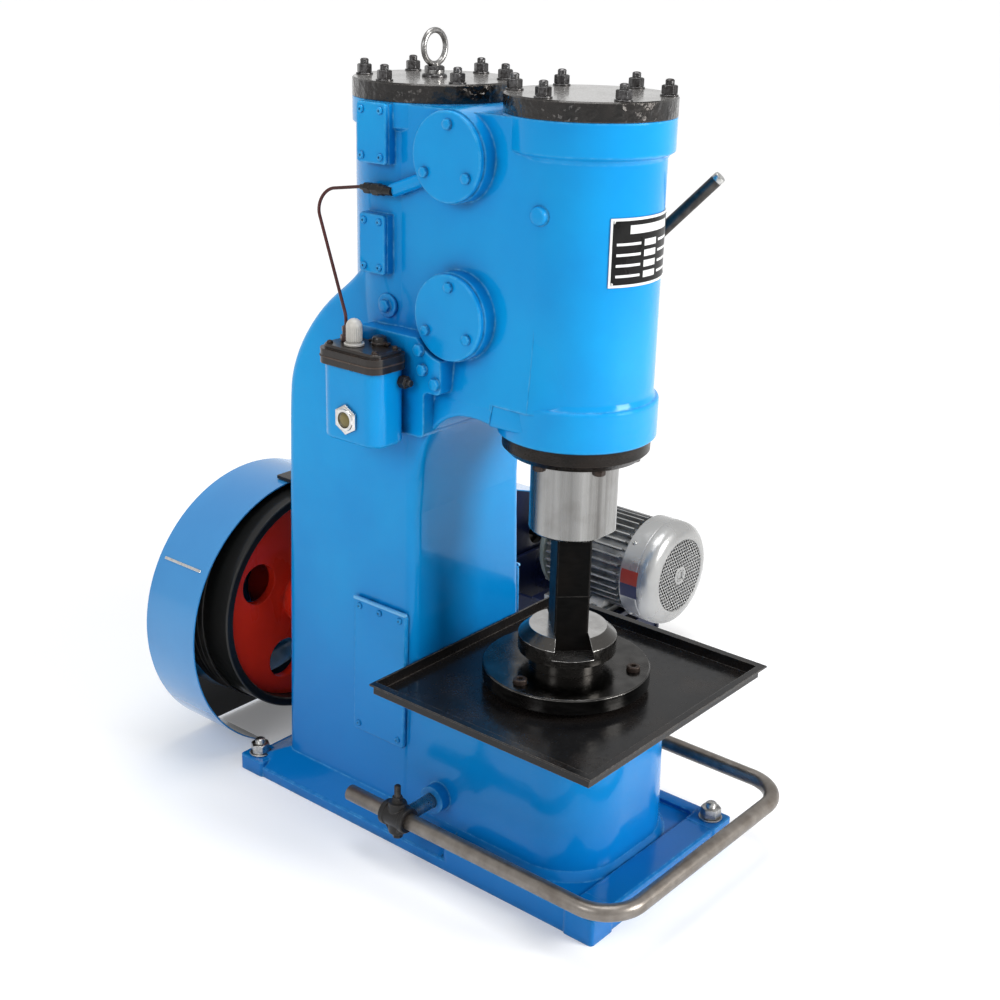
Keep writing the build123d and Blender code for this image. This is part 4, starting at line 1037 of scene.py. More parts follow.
def addGrille(bm, place, values):
    # hexagon cells with a hole each, then the round boss with its raised square
    pitch = values["hole"] * 2 + values["web"]
    rowHigh = pitch * math.sqrt(3) / 2
    span = int(values["grille"] / rowHigh) + 1
    corners = [Matrix.Rotation(math.radians(60 * k + 30), 3, "Z") @ Vector((1, 0, 0)) for k in range(6)]
    reach = values["hole"] / math.cos(math.pi / 6)
    cell = (pitch / 2) / math.cos(math.pi / 6)
    for row in range(-span, span + 1):
        for column in range(-span - 1, span + 2):
            x = column * pitch + (row % 2) * pitch / 2
            z = row * rowHigh
            distance = math.hypot(x, z)
            if distance > values["grille"] + 0.001 or distance < values["boss"]:
                continue
            spot = Vector((x, z, values["face"]))
            back = spot + Vector((0, 0, values["thick"]))
            loops = []
            for centre, size in ((spot, cell), (spot, reach), (back, reach)):
                loops.append([bm.verts.new(place @ (centre + way * size)) for way in corners])
            joinLoops(bm, loops, False, False)
    boss = values["boss"] + pitch * 0.4
    addTurned(bm, [(boss, 0.0032), (boss, 0.0008), (boss - 0.0015, 0.0001), (boss - 0.007, 0.0001),
                   (boss - 0.0085, 0.0022)], place, 48)
    half = boss * 0.46
    for k in range(4):
        arm = place @ Matrix.Rotation(math.pi / 2 * k, 4, "Z")
        addBlock(bm, (half - 0.0018, -half, 0.0001), (half + 0.0018, half + 0.0018, 0.0030), arm, 0.0005)


def makeFanCover(values):
    low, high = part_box("fan_cover")
    centre = (low + high) / 2
    front = low.y
    outer = (high.x - low.x) / 2
    long = high.y - low.y
    place = facing((centre.x, front, centre.z), (0, 1, 0))
    bm = bmesh.new()
    profile = [(outer - 0.004, long - 0.0005), (outer - 0.004, 0.026), (outer - 0.014, 0.010),
               (values["grille"] + 0.004, 0.0055), (values["grille"], 0.003), (values["grille"], 0.0012),
               (values["grille"] + 0.003, 0.0002), (outer - 0.026, 0.0008), (outer - 0.018, 0.0030),
               (outer - 0.011, 0.0066), (outer - 0.006, 0.011), (outer - 0.0026, 0.016),
               (outer - 0.0008, 0.0215), (outer, 0.028), (outer, long * 0.45),
               (outer - 0.0006, long * 0.46), (outer - 0.0006, long * 0.485), (outer, long * 0.495),
               (outer, long - 0.001), (outer - 0.001, long)]
    addSkin(bm, [roundRing(radius, height, 96) for radius, height in profile], place, False, False)
    addGrille(bm, place, values)
    bmesh.ops.remove_doubles(bm, verts=bm.verts, dist=0.00002)
    piece = finishPiece(bm, "fanCoverShell", "frame", "motorSilver", 30)
    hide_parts("fan_cover")
    bm = bmesh.new()
    inside = outer - 0.0045
    addTurned(bm, [(inside, long - 0.001), (inside, long * 0.62), (0.030, long * 0.60)], place, 64)
    for k in range(values["blades"]):
        turn = Matrix.Rotation(2 * math.pi * k / values["blades"], 4, "Z")
        addBlock(bm, (0.018, -0.0012, 0.010), (outer - 0.024, 0.0012, long * 0.60), place @ turn, 0.0004)
    addTurned(bm, [(0.024, 0.008), (0.026, 0.012), (0.026, long * 0.6)], place, 36)
    finishPiece(bm, "coolingFan", "frame", "fanGrey")
    bm = bmesh.new()
    for angle in values["angles"]:
        way = Vector((math.cos(math.radians(angle)), 0, math.sin(math.radians(angle))))
        spot = Vector((centre.x, high.y - 0.012, centre.z)) + way * (outer - 0.0004)
        addPanScrew(bm, facing(spot, way), values["screw"], values["screwHead"])
    finishPiece(bm, "fanCoverScrews", "frame", "zincSteel")


makeFanCover(fanCover)
print("fan cover in place")


# Motor: blank two-colour label bent round the fan cover, foot bolts, terminal box fittings

motorLabel = {"turn": 180, "half": 15.5, "near": 0.0325, "far": 0.0725, "lift": 0.0004, "thick": 0.0003,
              "steps": 16}
motorBolts = {"x": 0.088, "rows": (0.382, 0.476), "seat": 0.012, "flats": 0.015, "head": 0.008}
shieldBolts = {"ring": 0.093, "angles": (45, 135, 225, 315), "deep": 0.008, "flats": 0.010, "head": 0.006}
boxFittings = {"inset": 0.009, "screw": 0.0042, "screwHead": 0.003, "gland": 0.011, "glandUp": 0.016,
               "glandOut": 0.020}


def makeMotorLabel(values):
    low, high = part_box("fan_cover")
    centre = (low + high) / 2
    radius = (high.x - low.x) / 2 + values["lift"]
    for name, finishName, start in (("motorLabelUpper", "labelRed", 0),
                                    ("motorLabelLower", "labelNavy", -values["half"])):
        bm = bmesh.new()
        rows = []
        for k in range(values["steps"] + 1):
            angle = math.radians(values["turn"] - start - values["half"] * k / values["steps"])
            x = centre.x + radius * math.cos(angle)
            z = centre.z + radius * math.sin(angle)
            rows.append([bm.verts.new((x, low.y + values[end], z)) for end in ("near", "far")])
        for first, second in zip(rows, rows[1:]):
            bm.faces.new((first[0], first[1], second[1], second[0]))
        grown = bmesh.ops.extrude_face_region(bm, geom=list(bm.faces))
        sinkVerts(grown, centre, values["thick"], 1)
        finishPiece(bm, name, "frame", finishName)


def makeMotorBolts(values):
    bm = bmesh.new()
    middle = boxMiddle("motor_body")
    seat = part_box("motor_body")[0].z + values["seat"]
    for side in (-1, 1):
        for y in values["rows"]:
            place = facing((middle.x + side * values["x"], y, seat), (0, 0, 1))
            addHexBolt(bm, place, values["flats"], values["head"])
    finishPiece(bm, "motorFootBolts", "frame", "zincSteel")


def makeShieldBolts(values):
    bm = bmesh.new()
    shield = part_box("motor_end_shield")
    centre = (shield[0] + shield[1]) / 2
    seat = (centre.x, shield[0].y + values["deep"], centre.z)
    addBoltCircle(bm, seat, values["angles"], "y", (0, 1, 0), values)
    finishPiece(bm, "endShieldBolts", "frame", "zincSteel")


def makeBoxFittings(values):
    low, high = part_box("terminal_box")
    bm = bmesh.new()
    for x, y in insetCorners(low, high, values["inset"]):
        addPanScrew(bm, facing((x, y, high.z), (0, 0, 1)), values["screw"], values["screwHead"])
    finishPiece(bm, "terminalBoxScrews", "frame", "zincSteel")
    bm = bmesh.new()
    place = facing((high.x, (low.y + high.y) / 2, low.z + values["glandUp"]), (1, 0, 0))
    gland = values["gland"]
    out = values["glandOut"]
    addHexNut(bm, place, gland * 2, 0.006)
    addTurned(bm, [(gland * 0.85, 0.006), (gland * 0.85, 0.010), (gland * 0.62, out), (gland * 0.45, out),
                   (gland * 0.42, 0.010)], place, 32)
    finishPiece(bm, "cableGland", "frame", "blackIronPaint")


makeMotorLabel(motorLabel)
makeMotorBolts(motorBolts)
makeShieldBolts(shieldBolts)
makeBoxFittings(boxFittings)
print("motor fittings in place")


# Drive: four V-belts, grooved pulley, hub bolts, seam strip on the guard

vBelts = {"count": 4, "wide": 0.0122, "under": 0.0080, "turns": 56}
pulleyGrooves = {"notch": 0.0012, "deep": 0.004, "hub": 0.030}
wheelHub = {"ring": 0.041, "count": 6, "flats": 0.013, "head": 0.008, "nutFlats": 0.046, "nutHigh": 0.008}
guardSeam = {"angle": 147.8, "wide": 0.0045, "thick": 0.0012, "radius": 0.250, "z": 0.230, "near": 0.017,
             "far": 0.110}


def loopPath(bigRadius, smallRadius, turns):
    # closed path round the wheel and the pulley with the straight runs between them
    wheel = boxMiddle("wheel_rim")
    motor = boxMiddle("fan_cover")
    dx = motor.x - wheel.x
    dz = motor.z - wheel.z
    tilt = math.atan2(dz, dx)
    openAngle = math.acos((bigRadius - smallRadius) / math.hypot(dx, dz))
    points = []
    for centre, radius, start, sweep in ((wheel, bigRadius, tilt + openAngle, 2 * math.pi - 2 * openAngle),
                                         (motor, smallRadius, tilt - openAngle, 2 * openAngle)):
        for k in range(turns + 1):
            angle = start + sweep * k / turns
            way = Vector((math.cos(angle), 0, math.sin(angle)))
            points.append((Vector((centre.x, 0, centre.z)) + way * radius, way))
    return points


def makeVBelts(values):
    low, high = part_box("belt")
    wheelRadius = (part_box("wheel_rim")[1].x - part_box("wheel_rim")[0].x) / 2
    pulleyRadius = (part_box("motor_pulley")[1].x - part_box("motor_pulley")[0].x) / 2
    thick = high.z - boxMiddle("wheel_rim").z - wheelRadius
    path = loopPath(wheelRadius, pulleyRadius, values["turns"])
    pitch = (high.y - low.y) / values["count"]
    half = values["wide"] / 2
    under = values["under"] / 2
    crown = thick - 0.0002
    section = [(-under, 0.0004), (-half, thick * 0.75), (-half + 0.0006, crown), (half - 0.0006, crown),
               (half, thick * 0.75), (under, 0.0004)]
    bm = bmesh.new()
    for k in range(values["count"]):
        y = low.y + pitch * (k + 0.5)
        loops = []
        for point, way in path:
            loops.append([bm.verts.new(point + way * up + Vector((0, y + side, 0))) for side, up in section])
        joinLoops(bm, loops + loops[:1], False, False)
    piece = finishPiece(bm, "vBelts", "frame", "beltRubber", 40)
    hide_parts("belt")


def makePulley(values):
    low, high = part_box("motor_pulley")
    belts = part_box("belt")
    centre = (low + high) / 2
    radius = (high.x - low.x) / 2
    pitch = (belts[1].y - belts[0].y) / vBelts["count"]
    start = belts[0].y - 0.006
    hub = values["hub"]
    notch = values["notch"]
    deep = radius - values["deep"]
    profile = [(0.013, low.y), (0.014, low.y + 0.001), (0.014, start), (hub, start), (hub, start + 0.004),
               (radius - 0.014, start + 0.006), (radius - 0.008, start), (radius - 0.001, start),
               (radius, start + 0.001)]
    for k in range(1, vBelts["count"]):
        y = belts[0].y + pitch * k
        profile += [(radius, y - notch), (deep, y - notch * 0.4), (deep, y + notch * 0.4),
                    (radius, y + notch)]
    profile += [(radius, high.y - 0.001), (radius - 0.001, high.y), (radius - 0.009, high.y),
                (radius - 0.015, high.y - 0.006), (hub, high.y - 0.004), (hub, high.y), (0.006, high.y)]
    bm = bmesh.new()
    place = facing((centre.x, 0, centre.z), (0, 1, 0))
    addTurned(bm, profile, place, 72)
    piece = finishPiece(bm, "groovedPulley", "motor_rotor", "pulleyIron", 30)
    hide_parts("motor_pulley")


def makeHubBolts(values):
    bm = bmesh.new()
    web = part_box("wheel_web")
    middle = boxMiddle("wheel_rim")
    angles = evenAngles(values["count"], 0.5)
    for front, way in ((web[0].y, -1), (web[1].y, 1)):
        addBoltCircle(bm, (middle.x, front, middle.z), angles, "y", (0, way, 0), values)
    end = facing((middle.x, web[1].y, middle.z), (0, 1, 0))
    addHexNut(bm, end, values["nutFlats"], values["nutHigh"])
    finishPiece(bm, "hubBolts", "crank_wheel", "blackIronPaint")


def makeGuardSeam(values):
    low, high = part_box("belt_guard")
    angle = math.radians(values["angle"])
    way = Vector((math.cos(angle), 0, math.sin(angle)))
    spot = Vector((0, 0, values["z"])) + way * values["radius"]
    place = facing(spot, way)
    across = place.to_3x3().inverted() @ Vector((0, 1, 0))
    turn = Matrix.Rotation(math.atan2(across.y, across.x), 4, "Z")
    bm = bmesh.new()
    middle = Matrix.Translation((0, (low.y + high.y) / 2, 0)) @ place @ turn
    start = (low.y - high.y) / 2
    half = values["wide"] / 2
    addBlock(bm, (start + values["near"], -half, -0.0006), (start + values["far"], half, values["thick"]),
             middle, 0.0004)
    # bright chrome finish on the seam strip: a painted highlight standing in for the light line along the
    # seam
    finishPiece(bm, "guardSeam", "frame", "chromeRing")


makeVBelts(vBelts)
makePulley(pulleyGrooves)
makeHubBolts(wheelHub)
makeGuardSeam(guardSeam)
print("belt drive dressed")


# Lubricator: sight glass, ribbed filler cap, unions, lid screws and the fittings beside the tank

sightGlass = {"bezel": 0.0150, "window": 0.0115, "dome": 0.0035, "levels": 5}
fillerCap = {"ribs": 22, "ribDeep": 0.0006, "foot": 0.0030, "neck": 0.0105, "skirt": 0.0065}
unionNuts = {"base": 0.0155, "top": 0.0112, "split": 0.63}
lidDetails = {"inset": 0.016, "screw": 0.0048, "head": 0.004, "seamUp": 0.0095, "seamHigh": 0.0022,
              "seamOut": 0.0009, "corner": 0.020, "ventX": -0.160, "ventY": 0.244,
              "vent": 0.0125}
tankFittings = {"nutY": 0.201, "nutX": -0.160, "nutZ": 0.769, "nutFlats": 0.017, "nutLong": 0.012,
                "padBolts": ((0.179, 0.817), (0.172, 0.789), (0.148, 0.772)), "padX": -0.1437,
                "padFlats": 0.0155, "headHigh": 0.008,
                "plugY": 0.271, "plugZ": 0.862, "plugX": -0.1140, "plugRadius": 0.018, "plugFlats": 0.017}
borePlug = {"angle": 182, "radius": 0.109, "z": 1.028, "boss": 0.0125, "high": 0.008}


def makeSightGlass(values):
    low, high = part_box("sight_glass")
    middle = (low + high) / 2
    outer = (high.y - low.y) / 2
    flats = outer * 2 * math.cos(math.pi / 6)
    thick = high.x - low.x
    place = facing((high.x, middle.y, middle.z), (-1, 0, 0))
    bezel = values["bezel"]
    window = values["window"]
    turn = Matrix.Rotation(math.pi / 6, 4, "Z")
    rings = []
    for size, height in ((flats, 0), (flats, thick * 0.55), (flats * 0.90, thick * 0.72)):
        rings.append([turn @ point for point in hexRing(size, height)])
    for size, height in ((bezel + 0.002, thick * 0.74), (bezel + 0.0012, thick), (window + 0.0008, thick),
                         (window, thick * 0.5)):
        rings.append(roundRing(size, height))
    bm = bmesh.new()
    addSkin(bm, rings, place, True, False)
    start = len(bm.faces)
    glass = []
    for k in range(values["levels"]):
        lift = math.pi / 2 * k / values["levels"]
        height = thick * 0.42 + values["dome"] * math.sin(lift)
        glass.append(roundRing(window * math.cos(lift) + 0.0002, height))
    addSkin(bm, glass, place, False, True)
    paintFrom(bm, start, 1)
    piece = finishPiece(bm, "sightGlassRing", "frame", "chromeRing", 30)
    piece.data.materials.append(finishes["glassOlive"])
    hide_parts("sight_glass")


def ribbedRing(radius, height, ribs, deep, steps=176):
    ring = []
    for k in range(steps):
        angle = 2 * math.pi * k / steps
        wave = max(-0.5, min(0.5, math.cos(ribs * angle))) + 0.5
        here = radius - deep * wave
        ring.append(Vector((here * math.cos(angle), here * math.sin(angle), height)))
    return ring


def makeFillerCap(values):
    low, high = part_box("filler_cap")
    middle = (low + high) / 2
    foot = (high.x - low.x) / 2
    cap = foot - 0.003
    tall = high.z - low.z
    ribs = values["ribs"]
    deep = values["ribDeep"]
    place = facing((middle.x, middle.y, low.z), (0, 0, 1))
    flange = values["foot"]
    neck = values["neck"]
    skirt = values["skirt"]
    profile = [(foot - 0.0004, 0, 0), (foot, 0.0006, 0), (foot, flange, 0),
               (foot - 0.0008, flange + 0.0008, 0), (neck, flange + 0.0012, 0), (neck, skirt, 0),
               (cap, skirt + 0.0004, deep), (cap, tall - cap - 0.002, deep), (cap - 0.0001, tall - cap, 0)]
    for k in range(1, 8):
        lift = math.pi / 2 * k / 8
        profile.append((cap * math.cos(lift), tall - cap + cap * math.sin(lift), 0))
    bm = bmesh.new()
    addSkin(bm, [ribbedRing(radius, height, ribs, dip) for radius, height, dip in profile], place)
    piece = finishPiece(bm, "ribbedFillerCap", "frame", "capGrey", 30)
    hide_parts("filler_cap")


def makeUnions(values):
    low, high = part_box("tube_union")
    middle = (low + high) / 2
    tall = high.z - low.z
    place = facing((middle.x, middle.y, low.z), (0, 0, 1))
    bm = bmesh.new()
    addHexNut(bm, place, values["base"], tall * 0.40)
    addTurned(bm, [(0.0055, tall * 0.38), (0.0055, tall * values["split"])], place, 24)
    addHexNut(bm, raised(place, tall * values["split"]), values["top"], tall * 0.30)
    addTurned(bm, [(0.0042, tall * 0.92), (0.0034, tall)], place, 24)
    piece = finishPiece(bm, "tankUnionNuts", "frame", "unionBrown")
    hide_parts("tube_union")
    low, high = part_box("oil_fitting")
    middle = (low + high) / 2
    long = high.y - low.y
    place = facing((middle.x, low.y, middle.z), (0, 1, 0))
    bm = bmesh.new()
    addTurned(bm, [(0.0060, -0.014), (0.0066, 0.0002)], place, 32)
    addTurned(bm, [(0.0072, 0), (0.0078, 0.0006), (0.0078, long * 0.20)], place, 32)
    addHexNut(bm, raised(place, long * 0.18), values["base"] * 1.04, long * 0.26)
    addTurned(bm, [(0.0066, long * 0.43), (0.0066, long * 0.56)], place, 32)
    addHexNut(bm, raised(place, long * 0.55), values["base"] * 0.95, long * 0.24)
    addTurned(bm, [(0.0052, long * 0.78), (0.0046, long * 0.90), (0.0036, long)], place, 24)
    piece = finishPiece(bm, "oilFittingNuts", "frame", "blackIronPaint")
    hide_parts("oil_fitting")


def roundedOutline(low, high, corner, height, steps=9):
    ring = []
    for cx, cy, start in ((high.x - corner, high.y - corner, 0), (low.x + corner, high.y - corner, 90),
                          (low.x + corner, low.y + corner, 180), (high.x - corner, low.y + corner, 270)):
        for k in range(steps):
            angle = math.radians(start + 90 * k / (steps - 1))
            ring.append(Vector((cx + corner * math.cos(angle), cy + corner * math.sin(angle), height)))
    return ring


def makeLidDetails(values):
    low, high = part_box("oil_tank_lid")
    bm = bmesh.new()
    out = Vector((values["seamOut"], values["seamOut"], 0))
    a = low - out
    b = high + Vector((-0.0003, values["seamOut"], 0))
    up = low.z + values["seamUp"]
    corner = values["corner"]
    top = up + values["seamHigh"]
    rings = []
    for inset, height in ((0.003, up), (0.0004, up), (0, up + 0.0004), (0, top - 0.0004), (0.0004, top),
                          (0.003, top)):
        step = Vector((inset, inset, 0))
        rings.append(roundedOutline(a + step, b - step, corner - inset, height))
    addSkin(bm, rings, Matrix.Identity(4))
    finishPiece(bm, "lidGasket", "frame", "gasketBrown")
    bm = bmesh.new()
    for x, y in insetCorners(low, high, values["inset"]):
        addPanScrew(bm, facing((x, y, high.z), (0, 0, 1)), values["screw"], values["head"])
    finishPiece(bm, "lidScrews", "frame", "boltRust")
    bm = bmesh.new()
    place = facing((values["ventX"], values["ventY"], high.z), (0, 0, 1))
    vent = values["vent"]
    addTurned(bm, [(vent, 0), (vent, 0.004), (vent - 0.0013, 0.0048), (vent - 0.0013, 0.010),
                   (vent - 0.0027, 0.0125), (vent - 0.0065, 0.0142)], place, 40)
    addBlock(bm, (-0.0035, -0.020, 0.001), (0.0035, 0.020, 0.006), place, 0.001)
    finishPiece(bm, "lidBreather", "frame", "lidBrown")


def makeTankFittings(values):
    bm = bmesh.new()
    place = facing((values["nutX"], values["nutY"], values["nutZ"]), (0, -1, 0))
    long = values["nutLong"]
    addHexNut(bm, place, values["nutFlats"], long)
    addTurned(bm, [(0.0055, long - 0.001), (0.0055, long + 0.006), (0.0045, long + 0.008)], place, 24)
    finishPiece(bm, "tankOutletNut", "frame", "blackIronPaint")
    bm = bmesh.new()
    for y, z in values["padBolts"]:
        addHexBolt(bm, facing((values["padX"], y, z), (-1, 0, 0)), values["padFlats"], values["headHigh"])
    place = facing((values["plugX"], values["plugY"], values["plugZ"]), (-1, 0, 0))
    radius = values["plugRadius"]
    addTurned(bm, [(radius, -0.001), (radius, 0.0025), (radius - 0.001, 0.0035), (radius * 0.6, 0.0035)],
              place, 40)
    addHexNut(bm, raised(place, 0.003), values["plugFlats"], values["headHigh"])
    finishPiece(bm, "padBolts", "frame", "machineBlue")


def makeBorePlug(values):
    angle = math.radians(values["angle"])
    way = Vector((math.cos(angle), math.sin(angle), 0))
    spot = way * (values["radius"] - 0.001)
    place = facing((spot.x, spot.y, values["z"]), way)
    boss = values["boss"]
    high = values["high"]
    bm = bmesh.new()
    addTurned(bm, [(boss + 0.003, 0), (boss + 0.0008, 0.0016), (boss, high - 0.0020),
                   (boss - 0.0006, high - 0.0008), (boss - 0.0020, high),
                   (boss * 0.3, high + 0.0004)], place)
    finishPiece(bm, "cylinderPlug", "frame", "machineBlue")


makeSightGlass(sightGlass)
makeFillerCap(fillerCap)
makeUnions(unionNuts)
makeLidDetails(lidDetails)
makeTankFittings(tankFittings)
makeBorePlug(borePlug)
print("lubricator dressed")


# Cast blends: the wide arch over the throat and the soft run of the side walls into the work cylinder

# the arch's curve is y and z in millimetres, from the column's foot to the cylinder; low and high are
# the edge radii below and above the bend
throatArch = {"curve": ((204.6, 520), (202, 575), (196.5, 622), (186.5, 662), (172, 692), (151, 712),
                        (124, 723), (94, 725.5), (66, 722.5)),
              "low": 18, "high": 5, "bendLow": 0.60, "bendHigh": 0.68, "inset": 0.3, "steps": 6,
              "probeIn": 0.012, "root": 0.028, "rootMost": 0.050, "gapElse": 0.004}
throatCheek = {"levels": ((0.7195, 0.0050), (0.7208, 0.0024), (0.7232, 0.0007), (0.7255, 0), (0.7390, 0),
                          (0.7524, 0)), "taper": 0.075,
               "edge": ((0.100, 0.068), (0.1202, 0.067), (0.1200, 0.034), (0.1172, 0.008), (0.106, -0.002))}
# turn is how much further round the cylinder the blend runs than a tangent; it sinks in from fade up
wallBlend = {"low": 0.7525, "high": 0.884, "fade": 0.845, "levels": 30, "radius": 0.109, "turn": 1.45,
             "leastTurn": 0.16, "sink": 0.0016, "steps": 12}


def castingTree():
    mesh = nodes["body_casting"].data
    faces = [tuple(face.vertices) for face in mesh.polygons]
    return BVHTree.FromPolygons([vert.co.copy() for vert in mesh.vertices], faces)


def smoothCurve(points, parts):
    dense = []
    for k in range(len(points) - 1):
        before = Vector(points[max(0, k - 1)])
        start = Vector(points[k])
        end = Vector(points[k + 1])
        after = Vector(points[min(len(points) - 1, k + 2)])
        for j in range(parts):
            s = j / parts
            mixed = start * 2 + (end - before) * s + (before * 2 - start * 5 + end * 4 - after) * s ** 2
            mixed = mixed + (start * 3 - before - end * 3 + after) * s ** 3
            dense.append(mixed / 2)
    dense.append(Vector(points[-1]))
    return dense


def makeThroatArch(values, tree):
    curve = smoothCurve(values["curve"], 4)

    def halfAt(z):
        hit = tree.ray_cast(Vector((0.4, 0.26, z)), Vector((-1, 0, 0)))[0]
        return hit.x - values["inset"] / 1000

    bm = bmesh.new()
    loops = []
    for k, point in enumerate(curve):
        ahead = curve[min(k + 1, len(curve) - 1)] - curve[max(k - 1, 0)]
        inward = Vector((ahead.y, -ahead.x)).normalized()
        y = point.x / 1000
        z = point.y / 1000
        half = halfAt(z)
        share = max(0, min(1, (z - values["bendLow"]) / (values["bendHigh"] - values["bendLow"])))
        radius = (values["low"] * (1 - share) + values["high"] * share) / 1000
        away = Vector((0, inward.x, inward.y))
        surface = Vector((0, y, z))
        section = []
        for side in (-1, 1):
            part = []
            for j in range(values["steps"] + 1):
                angle = math.pi / 2 * j / values["steps"]
                across = half - radius + radius * math.cos(angle)
                back = radius - radius * math.sin(angle)
                part.append(Vector((side * across, 0, 0)) + surface + away * back)
            # the back of the arch runs into the casting behind it, as deep as the gap there asks for
            probe = Vector((side * (half - values["probeIn"]), y, z)) + away * 0.0002
            gap = tree.ray_cast(probe, away)[3] or values["gapElse"]
            deep = surface + away * min(values["rootMost"], gap + values["root"])
            deep.x = side * min(half, halfAt(deep.z))
            part.insert(0, deep)
            section.append(part if side < 0 else list(reversed(part)))
        loops.append([bm.verts.new(spot) for spot in section[0] + section[1]])
    joinLoops(bm, loops)
    finishPiece(bm, "throatArch", "frame", "machineBlue", 50)


def makeThroatCheeks(values):
    bm = bmesh.new()
    edge = values["edge"]
    for side in (-1, 1):
        loops = []
        for z, inset in values["levels"]:
            slim = (z - values["levels"][0][0]) * values["taper"]
            outer = [(x - inset - slim, y) for x, y in edge[1:4]]
            loops.append([bm.verts.new((side * x, y, z)) for x, y in (edge[0], *outer, edge[4])])
        joinLoops(bm, loops)
    finishPiece(bm, "throatCheeks", "frame", "machineBlue", 50)


def makeWallBlend(values, tree):
    radius = values["radius"]
    for side, name in ((-1, "wallBlendLeft"), (1, "wallBlendRight")):
        bm = bmesh.new()
        loops = []
        for k in range(values["levels"] + 1):
            z = values["low"] + (values["high"] - values["low"]) * k / values["levels"]
            hit = tree.ray_cast(Vector((side * 0.3, 0.020, z)), Vector((-side, 0, 0)))[0]
            wall = max(abs(hit.x), radius + 0.0003)
            risen = (z - values["fade"]) / (values["high"] - values["fade"])
            sunk = values["sink"] * max(0, min(1, risen))
            half = wall - 0.0001 - sunk
            turn = max(values["leastTurn"], math.acos(radius / wall) * values["turn"])
            end = Vector((math.cos(turn), -math.sin(turn))) * (radius - sunk)
            reach = (radius - sunk - half * math.cos(turn)) / math.sin(turn)
            start = Vector((half, 0.002))
            control = Vector((half, -max(0, reach)))
            ring = [Vector((half - 0.012, 0.014)), Vector((half - 0.0015, 0.012))]
            for j in range(values["steps"] + 1):
                s = j / values["steps"]
                ring.append(start * (1 - s) ** 2 + control * 2 * s * (1 - s) + end * s ** 2)
            for past, deep in ((0.06, 0.0008), (0.12, 0.0026), (0.14, 0.010)):
                inner = Vector((math.cos(turn + past), -math.sin(turn + past)))
                ring.append(inner * (radius - sunk - deep))
            loops.append([bm.verts.new((side * spot.x, spot.y, z)) for spot in ring])
        joinLoops(bm, loops)
        finishPiece(bm, name, "frame", "machineBlue", 50)


castTree = castingTree()
makeThroatArch(throatArch, castTree)
makeThroatCheeks(throatCheek)
makeWallBlend(wallBlend, castTree)
print("cast blends in place")


# Foot treadle: bent tube with open ends, clamp bolts; hand lever grip; linkage nuts

treadleTube = {"radius": 0.013, "bore": 0.0105, "deep": 0.05, "edge": 0.0006, "bend": 0.062, "turns": 20,
               "steps": 32, "leftEnd": 0.240}
clampShape = {"tube": 0.013, "pivotZ": 0.092, "tubeZ": 0.100, "arm": 0.036, "flats": 0.015, "head": 0.009,
              "stud": 0.0052, "out": 0.020, "pitch": 0.0014, "sleeve": 0.0185, "collar": 0.0205,
              "armRadius": 0.0180, "ear": 0.0150, "chamfer": 0.0015}
handleGrip = {"root": (0.143, 0.045, 0.905), "tip": (0.188, -0.092, 1.056), "start": 0.20, "radius": 0.0093,
              "end": 0.008, "past": 0.007, "hubOut": 0.012, "hubFlats": 0.017, "hubHead": 0.009}
linkNuts = {"leverX": 0.183, "pinY": 0.262, "leverZ": 0.870, "flats": 0.014, "head": 0.007}


def makeTreadleTube(values):
    low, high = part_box("treadle_bar")
    radius = values["radius"]
    z = (low.z + high.z) / 2
    half = high.x - radius
    front = low.y + radius
    bend = values["bend"]
    path = [(Vector((-half, values["leftEnd"], z)), Vector((0, -1, 0)))]
    for x, begin in ((-half + bend, math.pi), (half - bend, -math.pi / 2)):
        for k in range(values["turns"] + 1):
            angle = begin + math.pi / 2 * k / values["turns"]
            spot = Vector((x + bend * math.cos(angle), front + bend + bend * math.sin(angle), z))
            path.append((spot, Vector((-math.sin(angle), math.cos(angle), 0))))
    path.append((Vector((half, high.y, z)), Vector((0, 1, 0))))

    def tubeRing(spot, way, size):
        side = Vector((0, 0, 1)).cross(way).normalized()
        ring = []
        for k in range(values["steps"]):
            angle = 2 * math.pi * k / values["steps"]
            ring.append(spot + side * size * math.cos(angle) + Vector((0, 0, 1)) * size * math.sin(angle))
        return ring

    bore = values["bore"]
    edge = values["edge"]
    first, firstWay = path[0]
    last, lastWay = path[-1]
    # an open end: down the bore, then over the rounded rim to the outside
    mouth = [(values["deep"], bore), (edge, bore), (0, bore + edge), (0, radius - edge), (edge, radius)]
    rings = [tubeRing(first + firstWay * deep, firstWay, size) for deep, size in mouth]
    rings += [tubeRing(spot, way, radius) for spot, way in path[1:-1]]
    rings += [tubeRing(last - lastWay * deep, lastWay, size) for deep, size in reversed(mouth)]
    bm = bmesh.new()
    addSkin(bm, rings, Matrix.Identity(4))
    piece = finishPiece(bm, "treadleTube", "treadle", "tubeSteel", 50)
    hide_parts("treadle_bar")


